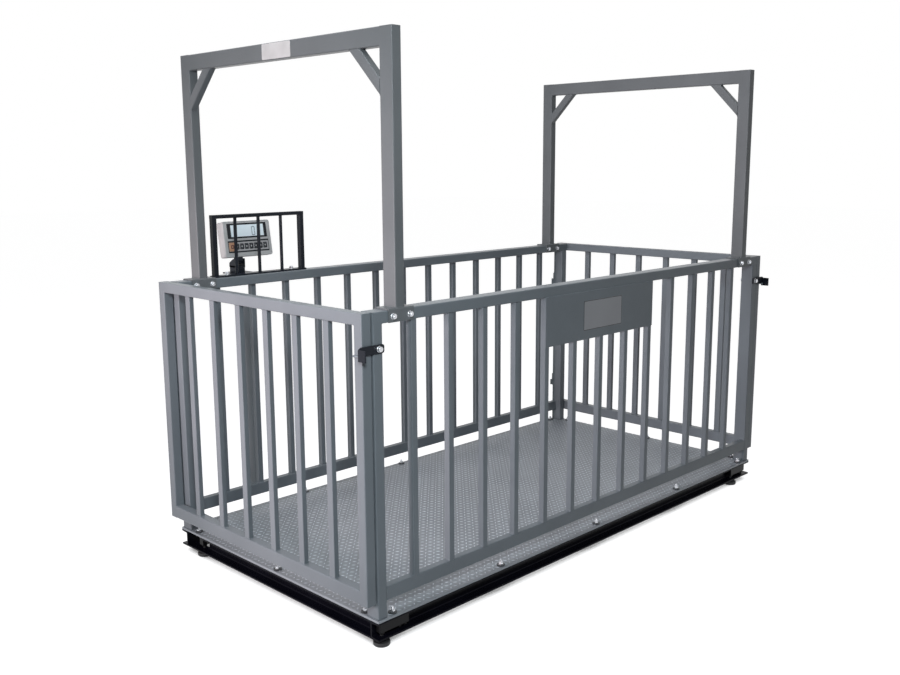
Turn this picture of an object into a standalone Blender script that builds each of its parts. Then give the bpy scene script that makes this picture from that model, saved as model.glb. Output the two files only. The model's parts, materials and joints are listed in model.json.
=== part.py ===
# Livestock scale: a platform on four load cells, with a railed cage, two end gates,
# two arches that tie the rails together, and a weight indicator behind a guard.
# Metres, +Z up. X runs from the front gate (-X) to the rear gate (+X).
# The near side is -Y; the indicator stands outside the far side, +Y.
# The floor is Z = 0 and the origin is the middle of the scale's footprint.

import math

import bmesh
import bpy
from mathutils import Vector

# Clearance between touching pieces
FIT = 0.0003
# Depth to which a welded piece sinks into the one that carries it
WELD = 0.001
ROUND_SIDES = 12
HOLE_SIDES = 16
SHARP_ANGLE = math.radians(35)

# Platform
DECK_LENGTH = 2.500
DECK_WIDTH = 1.250
DECK_THICK = 0.010
DECK_TOP = 0.100

# Rolled steel channel of the base
CHANNEL_HEIGHT = 0.065
CHANNEL_FLANGE = 0.042
CHANNEL_WEB = 0.0055
CHANNEL_FLANGE_THICK = 0.0075
CHANNEL_ROOT = 0.004
END_BEAM_NOTCH = 0.150
# Places of the cross members, as shares of the deck's length from its middle
CROSS_MEMBER_SHARES = (-0.248, -0.008, 0.240)

# Load cells, their fixings and the levelling feet
CELL_LENGTH = 0.130
CELL_WIDTH = 0.025
CELL_HEIGHT = 0.032
CELL_TOP = 0.078
CELL_END_TO_FOOT = 0.015
CELL_BLOCK_LENGTH = 0.050
CELL_BLOCK_WIDTH = 0.016
CELL_SCREW_PITCH = 0.025
CELL_SCREW_APOTHEM = 0.0085
CELL_SCREW_HEIGHT = 0.009
FOOT_FRONT_INSET = 0.0325
FOOT_REAR_INSET = 0.140
FOOT_NEAR_INSET = 0.0235
FOOT_FAR_INSET = 0.120
FOOT_RADIUS = 0.0295
FOOT_HEIGHT = 0.016
FOOT_EDGE = 0.006
FOOT_EDGE_STEPS = 3
FOOT_SIDES = 24
FOOT_SHOULDER = 0.003
STEM_RADIUS = 0.006
STEM_TOP = 0.074
STEM_CLEARANCE = 0.0004
FLANGE_HOLE_CLEARANCE = 0.002
LOCK_NUT_APOTHEM = 0.0095
LOCK_NUT_HEIGHT = 0.008

# Junction box under the deck
JUNCTION_LEFT = 0.080
JUNCTION_LENGTH = 0.150
JUNCTION_WIDTH = 0.100
JUNCTION_HEIGHT = 0.038

# Bolts of the deck: a stud with a washer and a nut
DECK_BOLT_INSET = 0.020
DECK_BOLT_TO_END = 0.080
DECK_BOLT_TO_NEAR = 0.090
DECK_BOLT_TO_FAR = 0.105
DECK_BOLT_MIDDLE_SHARE = -0.024
STUD_RADIUS = 0.005
STUD_CLEARANCE = 0.0004
STUD_WELD = 0.004
DECK_WASHER_RADIUS = 0.016
DECK_WASHER_THICK = 0.003
NUT_APOTHEM = 0.0085
NUT_HEIGHT = 0.008
DECK_STUD_PROUD = 0.009

# Square and rectangular tube
TUBE_WIDE = 0.060
TUBE_NARROW = 0.040
TUBE_WALL = 0.0025
DRAIN_RADIUS = 0.004

# Side panels
PANEL_INSET = 0.005
FENCE_HEIGHT = 1.035
BOTTOM_RAIL_LIFT = 0.058
BOTTOM_RAIL_HEIGHT = 0.050
BOTTOM_RAIL_DEPTH = 0.030
BAR_SIZE = 0.025
BAR_COUNT = 13
NEAR_FIRST_BAR_GAP = 0.124
NEAR_LAST_BAR_GAP = 0.1838
FAR_FIRST_BAR_GAP = 0.1514
FAR_LAST_BAR_GAP = 0.1336

# Cover for the indicator's lead: a slim open tube outside the second bar of the far panel
LEAD_COVER_BAR = 1
LEAD_COVER_WIDTH = 0.020
LEAD_COVER_DEPTH = 0.050
LEAD_COVER_LIFT = 0.010
LEAD_COVER_HEIGHT = 0.832

# Sign sheet on the near panel, and the bare label plates
SIGN_FIRST_BAR = 4
SIGN_LAST_BAR = 8
SIGN_HEIGHT = 0.190
SIGN_DROP = 0.001
SHEET_THICK = 0.002
LABEL_THICK = 0.0008
SIGN_LABEL_SHIFT = 0.003
SIGN_LABEL_WIDTH = 0.255
SIGN_LABEL_HEIGHT = 0.118
ARCH_LABEL_CENTRE = -0.019
ARCH_LABEL_WIDTH = 0.168
ARCH_LABEL_HEIGHT = 0.054

# Arches
ARCH_FRONT_INSET = 0.123
ARCH_REAR_INSET = 0.137
ARCH_TOP = 1.915
BRACE_SIZE = 0.038
BRACE_DEPTH = 0.030
BRACE_DROP = 0.149
SADDLE_LENGTH = 0.110
SADDLE_THICK = 0.005
SADDLE_BEVEL = 0.0015
SADDLE_BOLT_PITCH = 0.073
POST_DRAIN_RISE = 0.015
BOLT_WASHER_RADIUS = 0.0105
BOLT_WASHER_THICK = 0.002
BOLT_END_PROUD = 0.003

# Gates
GATE_GAP = 0.004
GATE_NEAR_SETBACK = 0.004
GATE_LIFT = 0.056
GATE_BOTTOM_RAIL_HEIGHT = 0.050
GATE_BAR_SIZE = 0.030
GATE_BAR_DEPTH = 0.020
GATE_BAR_INSET = 0.005
GATE_BAR_COUNT = 6
GATE_FIRST_BAR_GAP = 0.134
GATE_LAST_BAR_GAP = 0.151

# Gate hinges: knuckle and pin on the post, barrel on the gate
LOWER_HINGE_LIFT = 0.200
UPPER_HINGE_DROP = 0.235
BARREL_RADIUS = 0.009
BARREL_LENGTH = 0.030
PIN_RADIUS = 0.005
PIN_PROUD = 0.035
PIN_CLEARANCE = 0.0003
LEAF_REACH = 0.034
KNUCKLE_REACH = 0.032
BARREL_STANDOFF = 0.0025

# Gate latches: a flat bar that turns on a bolt in the post and hooks over a rod on the gate
LATCH_DROP = 0.1184
LATCH_THICK = 0.005
LATCH_HALF_WIDTH = 0.0145
LATCH_TAIL = 0.022
LATCH_HOOK_WIDTH = 0.0115
LATCH_HOOK_DROP = 0.030
LATCH_TAB_RISE = 0.0085
LATCH_TAB_REACH = 0.0345
CATCH_RADIUS = 0.004
CATCH_ON_STILE = 0.038
CATCH_PROUD = 0.016
CATCH_CLEARANCE = 0.0015
PIVOT_CLEARANCE = 0.0005

# Indicator guard and its base
GUARD_INSET = 0.1915
GUARD_WIDTH = 0.460
GUARD_HEIGHT = 0.256
GUARD_POST_WIDTH = 0.020
GUARD_POST_DEPTH = 0.025
GUARD_RAIL_HEIGHT = 0.015
GUARD_BAR_RADIUS = 0.007
GUARD_BAR_COUNT = 3
GUARD_STRIP_WIDTH = 0.042
GUARD_STRIP_OVERHANG = 0.003
GUARD_BASE_THICK = 0.006
GUARD_POST_INSET = 0.007
GUARD_BOLT_INSET = 0.066
GUARD_BOLT_DEPTH = 0.020
BRACKET_OFFSET = 0.1085
BRACKET_WIDTH = 0.104
BRACKET_REACH = 0.080

# Indicator column and head
COLUMN_ON_BRACKET = 0.028
COLUMN_OFFSET = 0.008
COLUMN_RISE = 0.035
EAR_THICK = 0.004
EAR_BASE = 0.003
EAR_FRONT_RISE = 0.0155
EAR_RISE = 0.0145
EAR_SHOULDER = 0.006
EAR_BACK = 0.020
EAR_BACK_RISE = 0.008
EAR_FAR_DROP = 0.005
HEAD_PIVOT_BACK = 0.020
HEAD_PIVOT_RISE = 0.015
HEAD_PIN_RADIUS = 0.004
HEAD_PIN_HEAD_RADIUS = 0.008
HEAD_PIN_HEAD = 0.004
HEAD_TILT = math.radians(9)
HEAD_CENTRE = 0.048
HEAD_WIDTH = 0.236
HEAD_HEIGHT = 0.152
HEAD_CORNER = 0.009
HEAD_BOTTOM = 0.020
HEAD_FRONT = 0.023
HEAD_BACK = 0.024
HEAD_SPLIT = 0.001
HEAD_WALL = 0.003
LUG_WIDTH = 0.029
LUG_RADIUS = 0.009
LUG_STEPS = 12
LUG_FRONT = 0.016
LUG_FRONT_LOW = 0.004
DISPLAY_WIDTH = 0.198
DISPLAY_HEIGHT = 0.064
DISPLAY_RISE = 0.078
DISPLAY_LEDGE = 0.010
KEYPAD_WIDTH = 0.205
KEYPAD_HEIGHT = 0.051
KEYPAD_RISE = 0.018
KEYPAD_LEDGE = 0.006
INLAY_THICK = 0.0014
KEY_COUNT = 8
KEY_PITCH = 0.0235
KEY_SIZE = 0.0165
KEY_PROUD = 0.0009
KEY_DEPTH = 0.0042
GLAND_RADIUS = 0.008
GLAND_LENGTH = 0.014
GLAND_SPACING = 0.032
GLAND_RISE = 0.022

# Sizes that follow from the ones above
HALF_LENGTH = DECK_LENGTH / 2
HALF_WIDTH = DECK_WIDTH / 2
DECK_UNDER = DECK_TOP - DECK_THICK
BEAM_TOP = DECK_UNDER - FIT
BEAM_BOTTOM = BEAM_TOP - CHANNEL_HEIGHT
NOTCH_BOTTOM = BEAM_BOTTOM + CHANNEL_FLANGE_THICK + CHANNEL_ROOT
WEB_BACK = HALF_WIDTH - CHANNEL_FLANGE
END_BEAM_STOP = HALF_WIDTH - END_BEAM_NOTCH
CROSS_MEMBERS = [share * DECK_LENGTH for share in CROSS_MEMBER_SHARES]
FOOT_FRONT = FOOT_FRONT_INSET - HALF_LENGTH
FOOT_REAR = HALF_LENGTH - FOOT_REAR_INSET
FOOT_NEAR = FOOT_NEAR_INSET - HALF_WIDTH
FOOT_FAR = HALF_WIDTH - FOOT_FAR_INSET
DECK_BOLT_LONG_SIDE = [
    DECK_BOLT_TO_END - HALF_LENGTH,
    *CROSS_MEMBERS,
    HALF_LENGTH - DECK_BOLT_TO_END,
]
DECK_BOLT_SHORT_SIDE = [
    DECK_BOLT_TO_NEAR - HALF_WIDTH,
    DECK_BOLT_MIDDLE_SHARE * DECK_WIDTH,
    HALF_WIDTH - DECK_BOLT_TO_FAR,
]
CELL_BOTTOM = CELL_TOP - CELL_HEIGHT
POST_OUTER_X = HALF_LENGTH - PANEL_INSET
POST_INNER_X = POST_OUTER_X - TUBE_NARROW
PANEL_OUTER = HALF_WIDTH - PANEL_INSET
PANEL_INNER = PANEL_OUTER - TUBE_WIDE
NEAR_BARS_START = NEAR_FIRST_BAR_GAP - POST_INNER_X
NEAR_BARS_END = POST_INNER_X - NEAR_LAST_BAR_GAP - BAR_SIZE
FAR_BARS_START = FAR_FIRST_BAR_GAP - POST_INNER_X
FAR_BARS_END = POST_INNER_X - FAR_LAST_BAR_GAP - BAR_SIZE
NEAR_BAR_PITCH = (NEAR_BARS_END - NEAR_BARS_START) / (BAR_COUNT - 1)
FAR_BAR_PITCH = (FAR_BARS_END - FAR_BARS_START) / (BAR_COUNT - 1)
FENCE_TOP = DECK_TOP + FENCE_HEIGHT
RAIL_UNDER = FENCE_TOP - TUBE_NARROW
ARCH_HEIGHT = DECK_TOP + ARCH_TOP
ARCH_FRONT = ARCH_FRONT_INSET - HALF_LENGTH
ARCH_REAR = HALF_LENGTH - ARCH_REAR_INSET
SADDLE_TOP = FENCE_TOP + FIT + SADDLE_THICK
GATE_INNER_X = POST_OUTER_X + GATE_GAP
GATE_OUTER_X = GATE_INNER_X + TUBE_NARROW
GATE_NEAR = GATE_NEAR_SETBACK - PANEL_OUTER
GATE_FAR = GATE_NEAR + DECK_WIDTH
GATE_INSIDE = DECK_WIDTH - TUBE_NARROW * 2
GATE_BAR_RUN = GATE_INSIDE - GATE_FIRST_BAR_GAP - GATE_LAST_BAR_GAP - GATE_BAR_SIZE
GATE_BAR_PITCH = GATE_BAR_RUN / (GATE_BAR_COUNT - 1)
HINGE_HEIGHTS = (DECK_TOP + LOWER_HINGE_LIFT, FENCE_TOP - UPPER_HINGE_DROP)
HINGE_X = (POST_OUTER_X + GATE_INNER_X) / 2
HINGE_Y = GATE_FAR + BARREL_STANDOFF + BARREL_RADIUS
LATCH_X = (POST_OUTER_X + POST_INNER_X) / 2
LATCH_Z = FENCE_TOP - LATCH_DROP
CATCH_X = GATE_OUTER_X - WELD + CATCH_RADIUS
CATCH_Z = LATCH_Z - LATCH_HALF_WIDTH - FIT - CATCH_RADIUS
LATCH_HOOK_X = CATCH_X + CATCH_RADIUS + CATCH_CLEARANCE
LATCH_END_X = LATCH_HOOK_X + LATCH_HOOK_WIDTH
GUARD_BASE_TOP = FENCE_TOP + FIT + GUARD_BASE_THICK
GUARD_LEFT = GUARD_INSET - HALF_LENGTH
GUARD_RIGHT = GUARD_LEFT + GUARD_WIDTH
GUARD_STRIP_NEAR = PANEL_OUTER - GUARD_STRIP_WIDTH
GUARD_POST_NEAR = GUARD_STRIP_NEAR + GUARD_POST_INSET
GUARD_BAR_Y = GUARD_POST_NEAR + GUARD_POST_DEPTH / 2
BRACKET_LEFT = GUARD_LEFT + BRACKET_OFFSET
BRACKET_RIGHT = BRACKET_LEFT + BRACKET_WIDTH
BRACKET_FAR = PANEL_OUTER + BRACKET_REACH
COLUMN_LEFT = BRACKET_LEFT + COLUMN_ON_BRACKET
COLUMN_TOP = FENCE_TOP + COLUMN_RISE
COLUMN_NEAR = PANEL_OUTER + COLUMN_OFFSET
COLUMN_RIGHT = COLUMN_LEFT + TUBE_NARROW
COLUMN_CENTRE = COLUMN_LEFT + TUBE_NARROW / 2
HEAD_PIVOT_Y = COLUMN_NEAR + HEAD_PIVOT_BACK
HEAD_PIVOT_Z = COLUMN_TOP + HEAD_PIVOT_RISE

# The latch tabs stand out on the near side and the indicator's bracket on the far side.
# The platform is set over by half their difference, so the origin is the footprint's middle.
NEAR_REACH = PANEL_OUTER + LATCH_TAB_REACH
SIDE_SHIFT = (NEAR_REACH - BRACKET_FAR) / 2

for old in list(bpy.data.objects):
    bpy.data.objects.remove(old, do_unlink=True)


def paint(name, colour, roughness, metallic):
    """Return a Principled material."""
    material = bpy.data.materials.new(name)
    material.use_nodes = True
    shader = material.node_tree.nodes["Principled BSDF"]
    shader.inputs["Base Color"].default_value = (*colour, 1.0)
    shader.inputs["Roughness"].default_value = roughness
    shader.inputs["Metallic"].default_value = metallic
    material.diffuse_color = (*colour, 1.0)
    return material


CAGE_PAINT = paint("cage_paint", (0.36, 0.36, 0.39), 0.45, 0.3)
DECK_PAINT = paint("deck_paint", (0.40, 0.42, 0.45), 0.5, 0.2)
BASE_PAINT = paint("base_paint", (0.015, 0.015, 0.018), 0.3, 0.0)
BLACK_PAINT = paint("black_paint", (0.02, 0.022, 0.026), 0.4, 0.0)
ZINC = paint("zinc", (0.70, 0.71, 0.73), 0.3, 1.0)
CELL_STEEL = paint("cell_steel", (0.09, 0.09, 0.095), 0.35, 0.8)
FOOT_RUBBER = paint("foot_rubber", (0.02, 0.02, 0.02), 0.7, 0.0)
CASE_PLASTIC = paint("case_plastic", (0.62, 0.61, 0.62), 0.45, 0.0)
DARK_PLASTIC = paint("dark_plastic", (0.05, 0.06, 0.07), 0.4, 0.0)
KEYPAD_GREY = paint("keypad_grey", (0.42, 0.42, 0.44), 0.5, 0.0)
KEY_ORANGE = paint("key_orange", (0.55, 0.30, 0.16), 0.5, 0.0)
LABEL_WHITE = paint("label_white", (0.82, 0.82, 0.82), 0.5, 0.0)
LABEL_GREY = paint("label_grey", (0.34, 0.34, 0.36), 0.45, 0.1)

platform = bpy.data.objects.new("platform_frame", None)
platform.location = (0, SIDE_SHIFT, 0)
bpy.context.collection.objects.link(platform)


def at(axis, first, second, along):
    """Return a point from its place along an axis and its two other coordinates in order."""
    if axis == "X":
        return Vector((along, first, second))
    if axis == "Y":
        return Vector((first, along, second))
    return Vector((first, second, along))


def loft(bm, axis, sections):
    """Join closed sections of equal point count into one capped solid."""
    rings = []
    for along, outline in sections:
        rings.append([bm.verts.new(at(axis, a, b, along)) for a, b in outline])
    for lower, upper in zip(rings, rings[1:]):
        for i in range(len(lower)):
            j = (i + 1) % len(lower)
            bm.faces.new((lower[i], lower[j], upper[j], upper[i]))
    bm.faces.new(rings[0])
    bm.faces.new(rings[-1])


def prism(bm, axis, outline, start, end):
    """Extrude an outline along an axis."""
    loft(bm, axis, [(start, outline), (end, outline)])


def rectangle(a0, b0, a1, b1):
    return [(a0, b0), (a1, b0), (a1, b1), (a0, b1)]


def box(bm, low, high):
    """Add a box between two corners."""
    prism(bm, "Z", rectangle(low[0], low[1], high[0], high[1]), low[2], high[2])


def hollow(bm, axis, outer, inner, start, end):
    """Extrude the space between two outlines of equal point count, open at both ends."""
    loops = []
    for outline in (outer, inner):
        for along in (start, end):
            loops.append([bm.verts.new(at(axis, a, b, along)) for a, b in outline])
    for first, second in ((0, 1), (1, 3), (3, 2), (2, 0)):
        for i in range(len(outer)):
            j = (i + 1) % len(outer)
            bm.faces.new((loops[first][i], loops[first][j], loops[second][j], loops[second][i]))


def tube(bm, axis, low, high):
    """Add a rectangular tube between two corners, running along an axis, open at both ends."""
    index = "XYZ".index(axis)
    a, b = [i for i in range(3) if i != index]
    a0, a1 = sorted((low[a], high[a]))
    b0, b1 = sorted((low[b], high[b]))
    outer = rectangle(a0, b0, a1, b1)
    inner = rectangle(a0 + TUBE_WALL, b0 + TUBE_WALL, a1 - TUBE_WALL, b1 - TUBE_WALL)
    hollow(bm, axis, outer, inner, low[index], high[index])


def circle(a, b, radius, sides=ROUND_SIDES):
    """Return a round outline about a centre."""
    points = []
    for i in range(sides):
        angle = 2 * math.pi * i / sides
        points.append((a + radius * math.cos(angle), b + radius * math.sin(angle)))
    return points


def hexagon(a, b, apothem, sides=ROUND_SIDES):
    """Return a hexagon's outline with as many points as a circle."""
    points = []
    for i in range(sides):
        angle = 2 * math.pi * i / sides
        radius = apothem / math.cos((angle % (math.pi / 3)) - math.pi / 6)
        points.append((a + radius * math.cos(angle), b + radius * math.sin(angle)))
    return points


def rounded(a0, b0, a1, b1, radius, steps=4):
    """Return a rectangle's outline with rounded corners."""
    corners = (
        (a1 - radius, b0 + radius, -90),
        (a1 - radius, b1 - radius, 0),
        (a0 + radius, b1 - radius, 90),
        (a0 + radius, b0 + radius, 180),
    )
    points = []
    for a, b, first in corners:
        for i in range(steps + 1):
            angle = math.radians(first + 90 * i / steps)
            points.append((a + radius * math.cos(angle), b + radius * math.sin(angle)))
    return points


def piece(name, bm, material, origin=(0, 0, 0), parent=platform):
    """Make a named object from geometry in its parent's coordinates, with its origin at a point."""
    bmesh.ops.translate(bm, verts=bm.verts, vec=-Vector(origin))
    bmesh.ops.recalc_face_normals(bm, faces=bm.faces)
    mesh = bpy.data.meshes.new(name)
    bm.to_mesh(mesh)
    bm.free()
    mesh.materials.append(material)
    mesh.shade_smooth()
    mesh.set_sharp_from_angle(angle=SHARP_ANGLE)
    made = bpy.data.objects.new(name, mesh)
    made.parent = parent
    made.location = origin
    bpy.context.collection.objects.link(made)
    return made


def combine(name, bm, target, operation, parent):
    """Weld a shape on a piece, or cut it out."""
    shape = piece(name, bm, target.data.materials[0], parent=parent)
    shape.hide_render = True
    shape.display_type = "WIRE"
    boolean = target.modifiers.new(name, "BOOLEAN")
    boolean.operation = operation
    boolean.solver = "EXACT"
    boolean.object = shape


def weld(name, bm, target, parent=platform):
    combine(name, bm, target, "UNION", parent)


def cut(name, bm, target, parent=platform):
    combine(name, bm, target, "DIFFERENCE", parent)


def closed_tube(name, low, high, drain=None, origin=(0, 0, 0)):
    """Make a tube with welded end caps. A drain is the place of a hole in its underside."""
    corners = [sorted(pair) for pair in zip(low, high)]
    low = Vector([pair[0] for pair in corners])
    high = Vector([pair[1] for pair in corners])
    wall = Vector((TUBE_WALL, TUBE_WALL, TUBE_WALL))
    bm = bmesh.new()
    box(bm, low, high)
    made = piece(name, bm, CAGE_PAINT, origin=origin)
    inside = bmesh.new()
    box(inside, low + wall, high - wall)
    cut(name + "_inside", inside, made)
    if drain:
        bm = bmesh.new()
        outline = circle(*drain, DRAIN_RADIUS)
        prism(bm, "Z", outline, low.z - TUBE_WALL, low.z + TUBE_WALL * 2)
        cut(name + "_drain", bm, made)
    return made


def channel_outline(tip, back, bottom, top):
    """Outline of a channel whose flanges point from its back to its tip."""
    out = 1 if tip > back else -1
    web = back + out * CHANNEL_WEB
    low = bottom + CHANNEL_FLANGE_THICK
    high = top - CHANNEL_FLANGE_THICK
    root = out * CHANNEL_ROOT
    return [
        (back, bottom),
        (tip, bottom),
        (tip, low),
        (web + root, low),
        (web, low + CHANNEL_ROOT),
        (web, high - CHANNEL_ROOT),
        (web + root, high),
        (tip, high),
        (tip, top),
        (back, top),
    ]


# Base frame: two full-length channels, two end channels between them and cross members.
# The end channels are notched down to their lower flange at the far end, for the load cells.
# Studs are welded into the top flanges and hold the deck down with nuts.

deck_bolt_places = {"near": [], "far": [], "front": [], "rear": []}
for x in DECK_BOLT_LONG_SIDE:
    deck_bolt_places["near"].append((x, DECK_BOLT_INSET - HALF_WIDTH))
    deck_bolt_places["far"].append((x, HALF_WIDTH - DECK_BOLT_INSET))
for y in DECK_BOLT_SHORT_SIDE:
    deck_bolt_places["front"].append((DECK_BOLT_INSET - HALF_LENGTH, y))
    deck_bolt_places["rear"].append((HALF_LENGTH - DECK_BOLT_INSET, y))


def deck_bolt(bm, x, y, foot):
    """Add a stud with its washer and nut above the deck."""
    washer_top = DECK_TOP + FIT + DECK_WASHER_THICK
    nut_top = washer_top + NUT_HEIGHT
    sections = [
        (foot, circle(x, y, STUD_RADIUS)),
        (DECK_TOP + FIT, circle(x, y, STUD_RADIUS)),
        (DECK_TOP + FIT, circle(x, y, DECK_WASHER_RADIUS)),
        (washer_top, circle(x, y, DECK_WASHER_RADIUS)),
        (washer_top, hexagon(x, y, NUT_APOTHEM)),
        (nut_top, hexagon(x, y, NUT_APOTHEM)),
        (nut_top, circle(x, y, STUD_RADIUS)),
        (nut_top + DECK_STUD_PROUD, circle(x, y, STUD_RADIUS)),
    ]
    loft(bm, "Z", sections)


beams = {}
for name, side in (("near", -1), ("far", 1)):
    bm = bmesh.new()
    outline = channel_outline(side * HALF_WIDTH, side * WEB_BACK, BEAM_BOTTOM, BEAM_TOP)
    prism(bm, "X", outline, -HALF_LENGTH, HALF_LENGTH)
    beams[name] = piece("base_" + name + "_beam", bm, BASE_PAINT)

for name, side in (("front", -1), ("rear", 1)):
    bm = bmesh.new()
    tip = side * HALF_LENGTH
    outline = channel_outline(tip, tip - side * CHANNEL_FLANGE, BEAM_BOTTOM, BEAM_TOP)
    prism(bm, "Y", outline, FIT - WEB_BACK, WEB_BACK - FIT)
    beams[name] = piece("base_" + name + "_beam", bm, BASE_PAINT)
    bm = bmesh.new()
    low = (tip - side * CHANNEL_FLANGE * 2, END_BEAM_STOP, NOTCH_BOTTOM)
    box(bm, low, (tip + side * CHANNEL_FLANGE, HALF_WIDTH, DECK_TOP))
    cut(name + "_notch", bm, beams[name])

for number, x in enumerate(CROSS_MEMBERS):
    bm = bmesh.new()
    outline = channel_outline(
        x + CHANNEL_FLANGE / 2, x - CHANNEL_FLANGE / 2, BEAM_BOTTOM, BEAM_TOP
    )
    prism(bm, "Y", outline, FIT - WEB_BACK, WEB_BACK - FIT)
    piece("base_cross_member_%d" % (number + 1), bm, BASE_PAINT)

holes = bmesh.new()
for name, beam in beams.items():
    studs = bmesh.new()
    for x, y in deck_bolt_places[name]:
        outline = circle(x, y, STUD_RADIUS + STUD_CLEARANCE, HOLE_SIDES)
        prism(holes, "Z", outline, DECK_UNDER - DECK_THICK, DECK_TOP + DECK_THICK)
        if y < END_BEAM_STOP or name in ("near", "far"):
            deck_bolt(studs, x, y, BEAM_TOP - STUD_WELD)
        else:
            bm = bmesh.new()
            deck_bolt(bm, x, y, DECK_UNDER + FIT)
            piece("deck_corner_bolt_" + name, bm, ZINC)
    weld(name + "_studs", studs, beam)

# Deck plate

bm = bmesh.new()
box(bm, (-HALF_LENGTH, -HALF_WIDTH, DECK_UNDER), (HALF_LENGTH, HALF_WIDTH, DECK_TOP))
deck = piece("deck_plate", bm, DECK_PAINT)
cut("stud_holes", holes, deck)

# Load cells: each bar points forward, with its foot at the front end. A spacer block and
# two screws fix its rear end under the frame, and the foot's lock nut bears on its front end.

foot_places = []
for end, x in (("front", FOOT_FRONT), ("rear", FOOT_REAR)):
    for side, y in (("near", FOOT_NEAR), ("far", FOOT_FAR)):
        foot_places.append((end + "_" + side, x, y))

flange_holes = {"near": bmesh.new(), "front": bmesh.new()}
for name, x, y in foot_places:
    front = x - CELL_END_TO_FOOT
    back = front + CELL_LENGTH
    half = CELL_WIDTH / 2
    bm = bmesh.new()
    box(bm, (front, y - half, CELL_BOTTOM), (back, y + half, CELL_TOP))
    cell = piece("load_cell_" + name, bm, CELL_STEEL)

    fixings = bmesh.new()
    ceiling = DECK_UNDER
    if y == FOOT_NEAR:
        ceiling = BEAM_TOP - CHANNEL_FLANGE_THICK
    low = (back - CELL_BLOCK_LENGTH, y - CELL_BLOCK_WIDTH / 2, CELL_TOP - WELD)
    box(fixings, low, (back, y + CELL_BLOCK_WIDTH / 2, ceiling - FIT))
    for step in (-0.5, 0.5):
        screw_x = back - CELL_BLOCK_LENGTH / 2 + step * CELL_SCREW_PITCH
        outline = hexagon(screw_x, y, CELL_SCREW_APOTHEM)
        prism(fixings, "Z", outline, CELL_BOTTOM - CELL_SCREW_HEIGHT, CELL_BOTTOM + WELD)
    outline = hexagon(x, y, LOCK_NUT_APOTHEM)
    prism(fixings, "Z", outline, CELL_BOTTOM - LOCK_NUT_HEIGHT, CELL_BOTTOM + WELD)
    weld("cell_fixings_" + name, fixings, cell)

    bore = bmesh.new()
    outline = circle(x, y, STEM_RADIUS + STEM_CLEARANCE)
    prism(bore, "Z", outline, BEAM_BOTTOM, CELL_TOP + CELL_HEIGHT)
    cut("stem_bore_" + name, bore, cell)
    beam = {"front_near": "near", "rear_near": "near", "front_far": "front"}.get(name)
    if beam:
        outline = circle(x, y, STEM_RADIUS + FLANGE_HOLE_CLEARANCE)
        high = NOTCH_BOTTOM + CHANNEL_ROOT
        prism(flange_holes[beam], "Z", outline, BEAM_BOTTOM - CHANNEL_ROOT, high)
for name, holes in flange_holes.items():
    cut(name + "_flange_holes", holes, beams[name])

# Levelling feet: a rubber-shod pad with a threaded stem

for name, x, y in foot_places:
    bm = bmesh.new()
    sections = []
    for i in range(FOOT_EDGE_STEPS + 1):
        angle = math.radians(90 * i / FOOT_EDGE_STEPS)
        radius = FOOT_RADIUS - FOOT_EDGE * (1 - math.sin(angle))
        sections.append((FOOT_EDGE * (1 - math.cos(angle)), circle(x, y, radius, FOOT_SIDES)))
    sections.append((FOOT_HEIGHT - FOOT_SHOULDER, circle(x, y, FOOT_RADIUS, FOOT_SIDES)))
    sections.append((FOOT_HEIGHT, circle(x, y, FOOT_RADIUS - FOOT_SHOULDER, FOOT_SIDES)))
    sections.append((FOOT_HEIGHT, circle(x, y, STEM_RADIUS, FOOT_SIDES)))
    sections.append((STEM_TOP, circle(x, y, STEM_RADIUS, FOOT_SIDES)))
    loft(bm, "Z", sections)
    piece("foot_" + name, bm, FOOT_RUBBER, origin=(x, y, 0))

bm = bmesh.new()
ceiling = DECK_UNDER - FIT
box(
    bm,
    (JUNCTION_LEFT, -JUNCTION_WIDTH / 2, ceiling - JUNCTION_HEIGHT),
    (JUNCTION_LEFT + JUNCTION_LENGTH, JUNCTION_WIDTH / 2, ceiling),
)
piece("junction_box", bm, DARK_PLASTIC)

# Side panels: two posts under a top rail, and a bottom rail with upright bars welded on it

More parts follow.
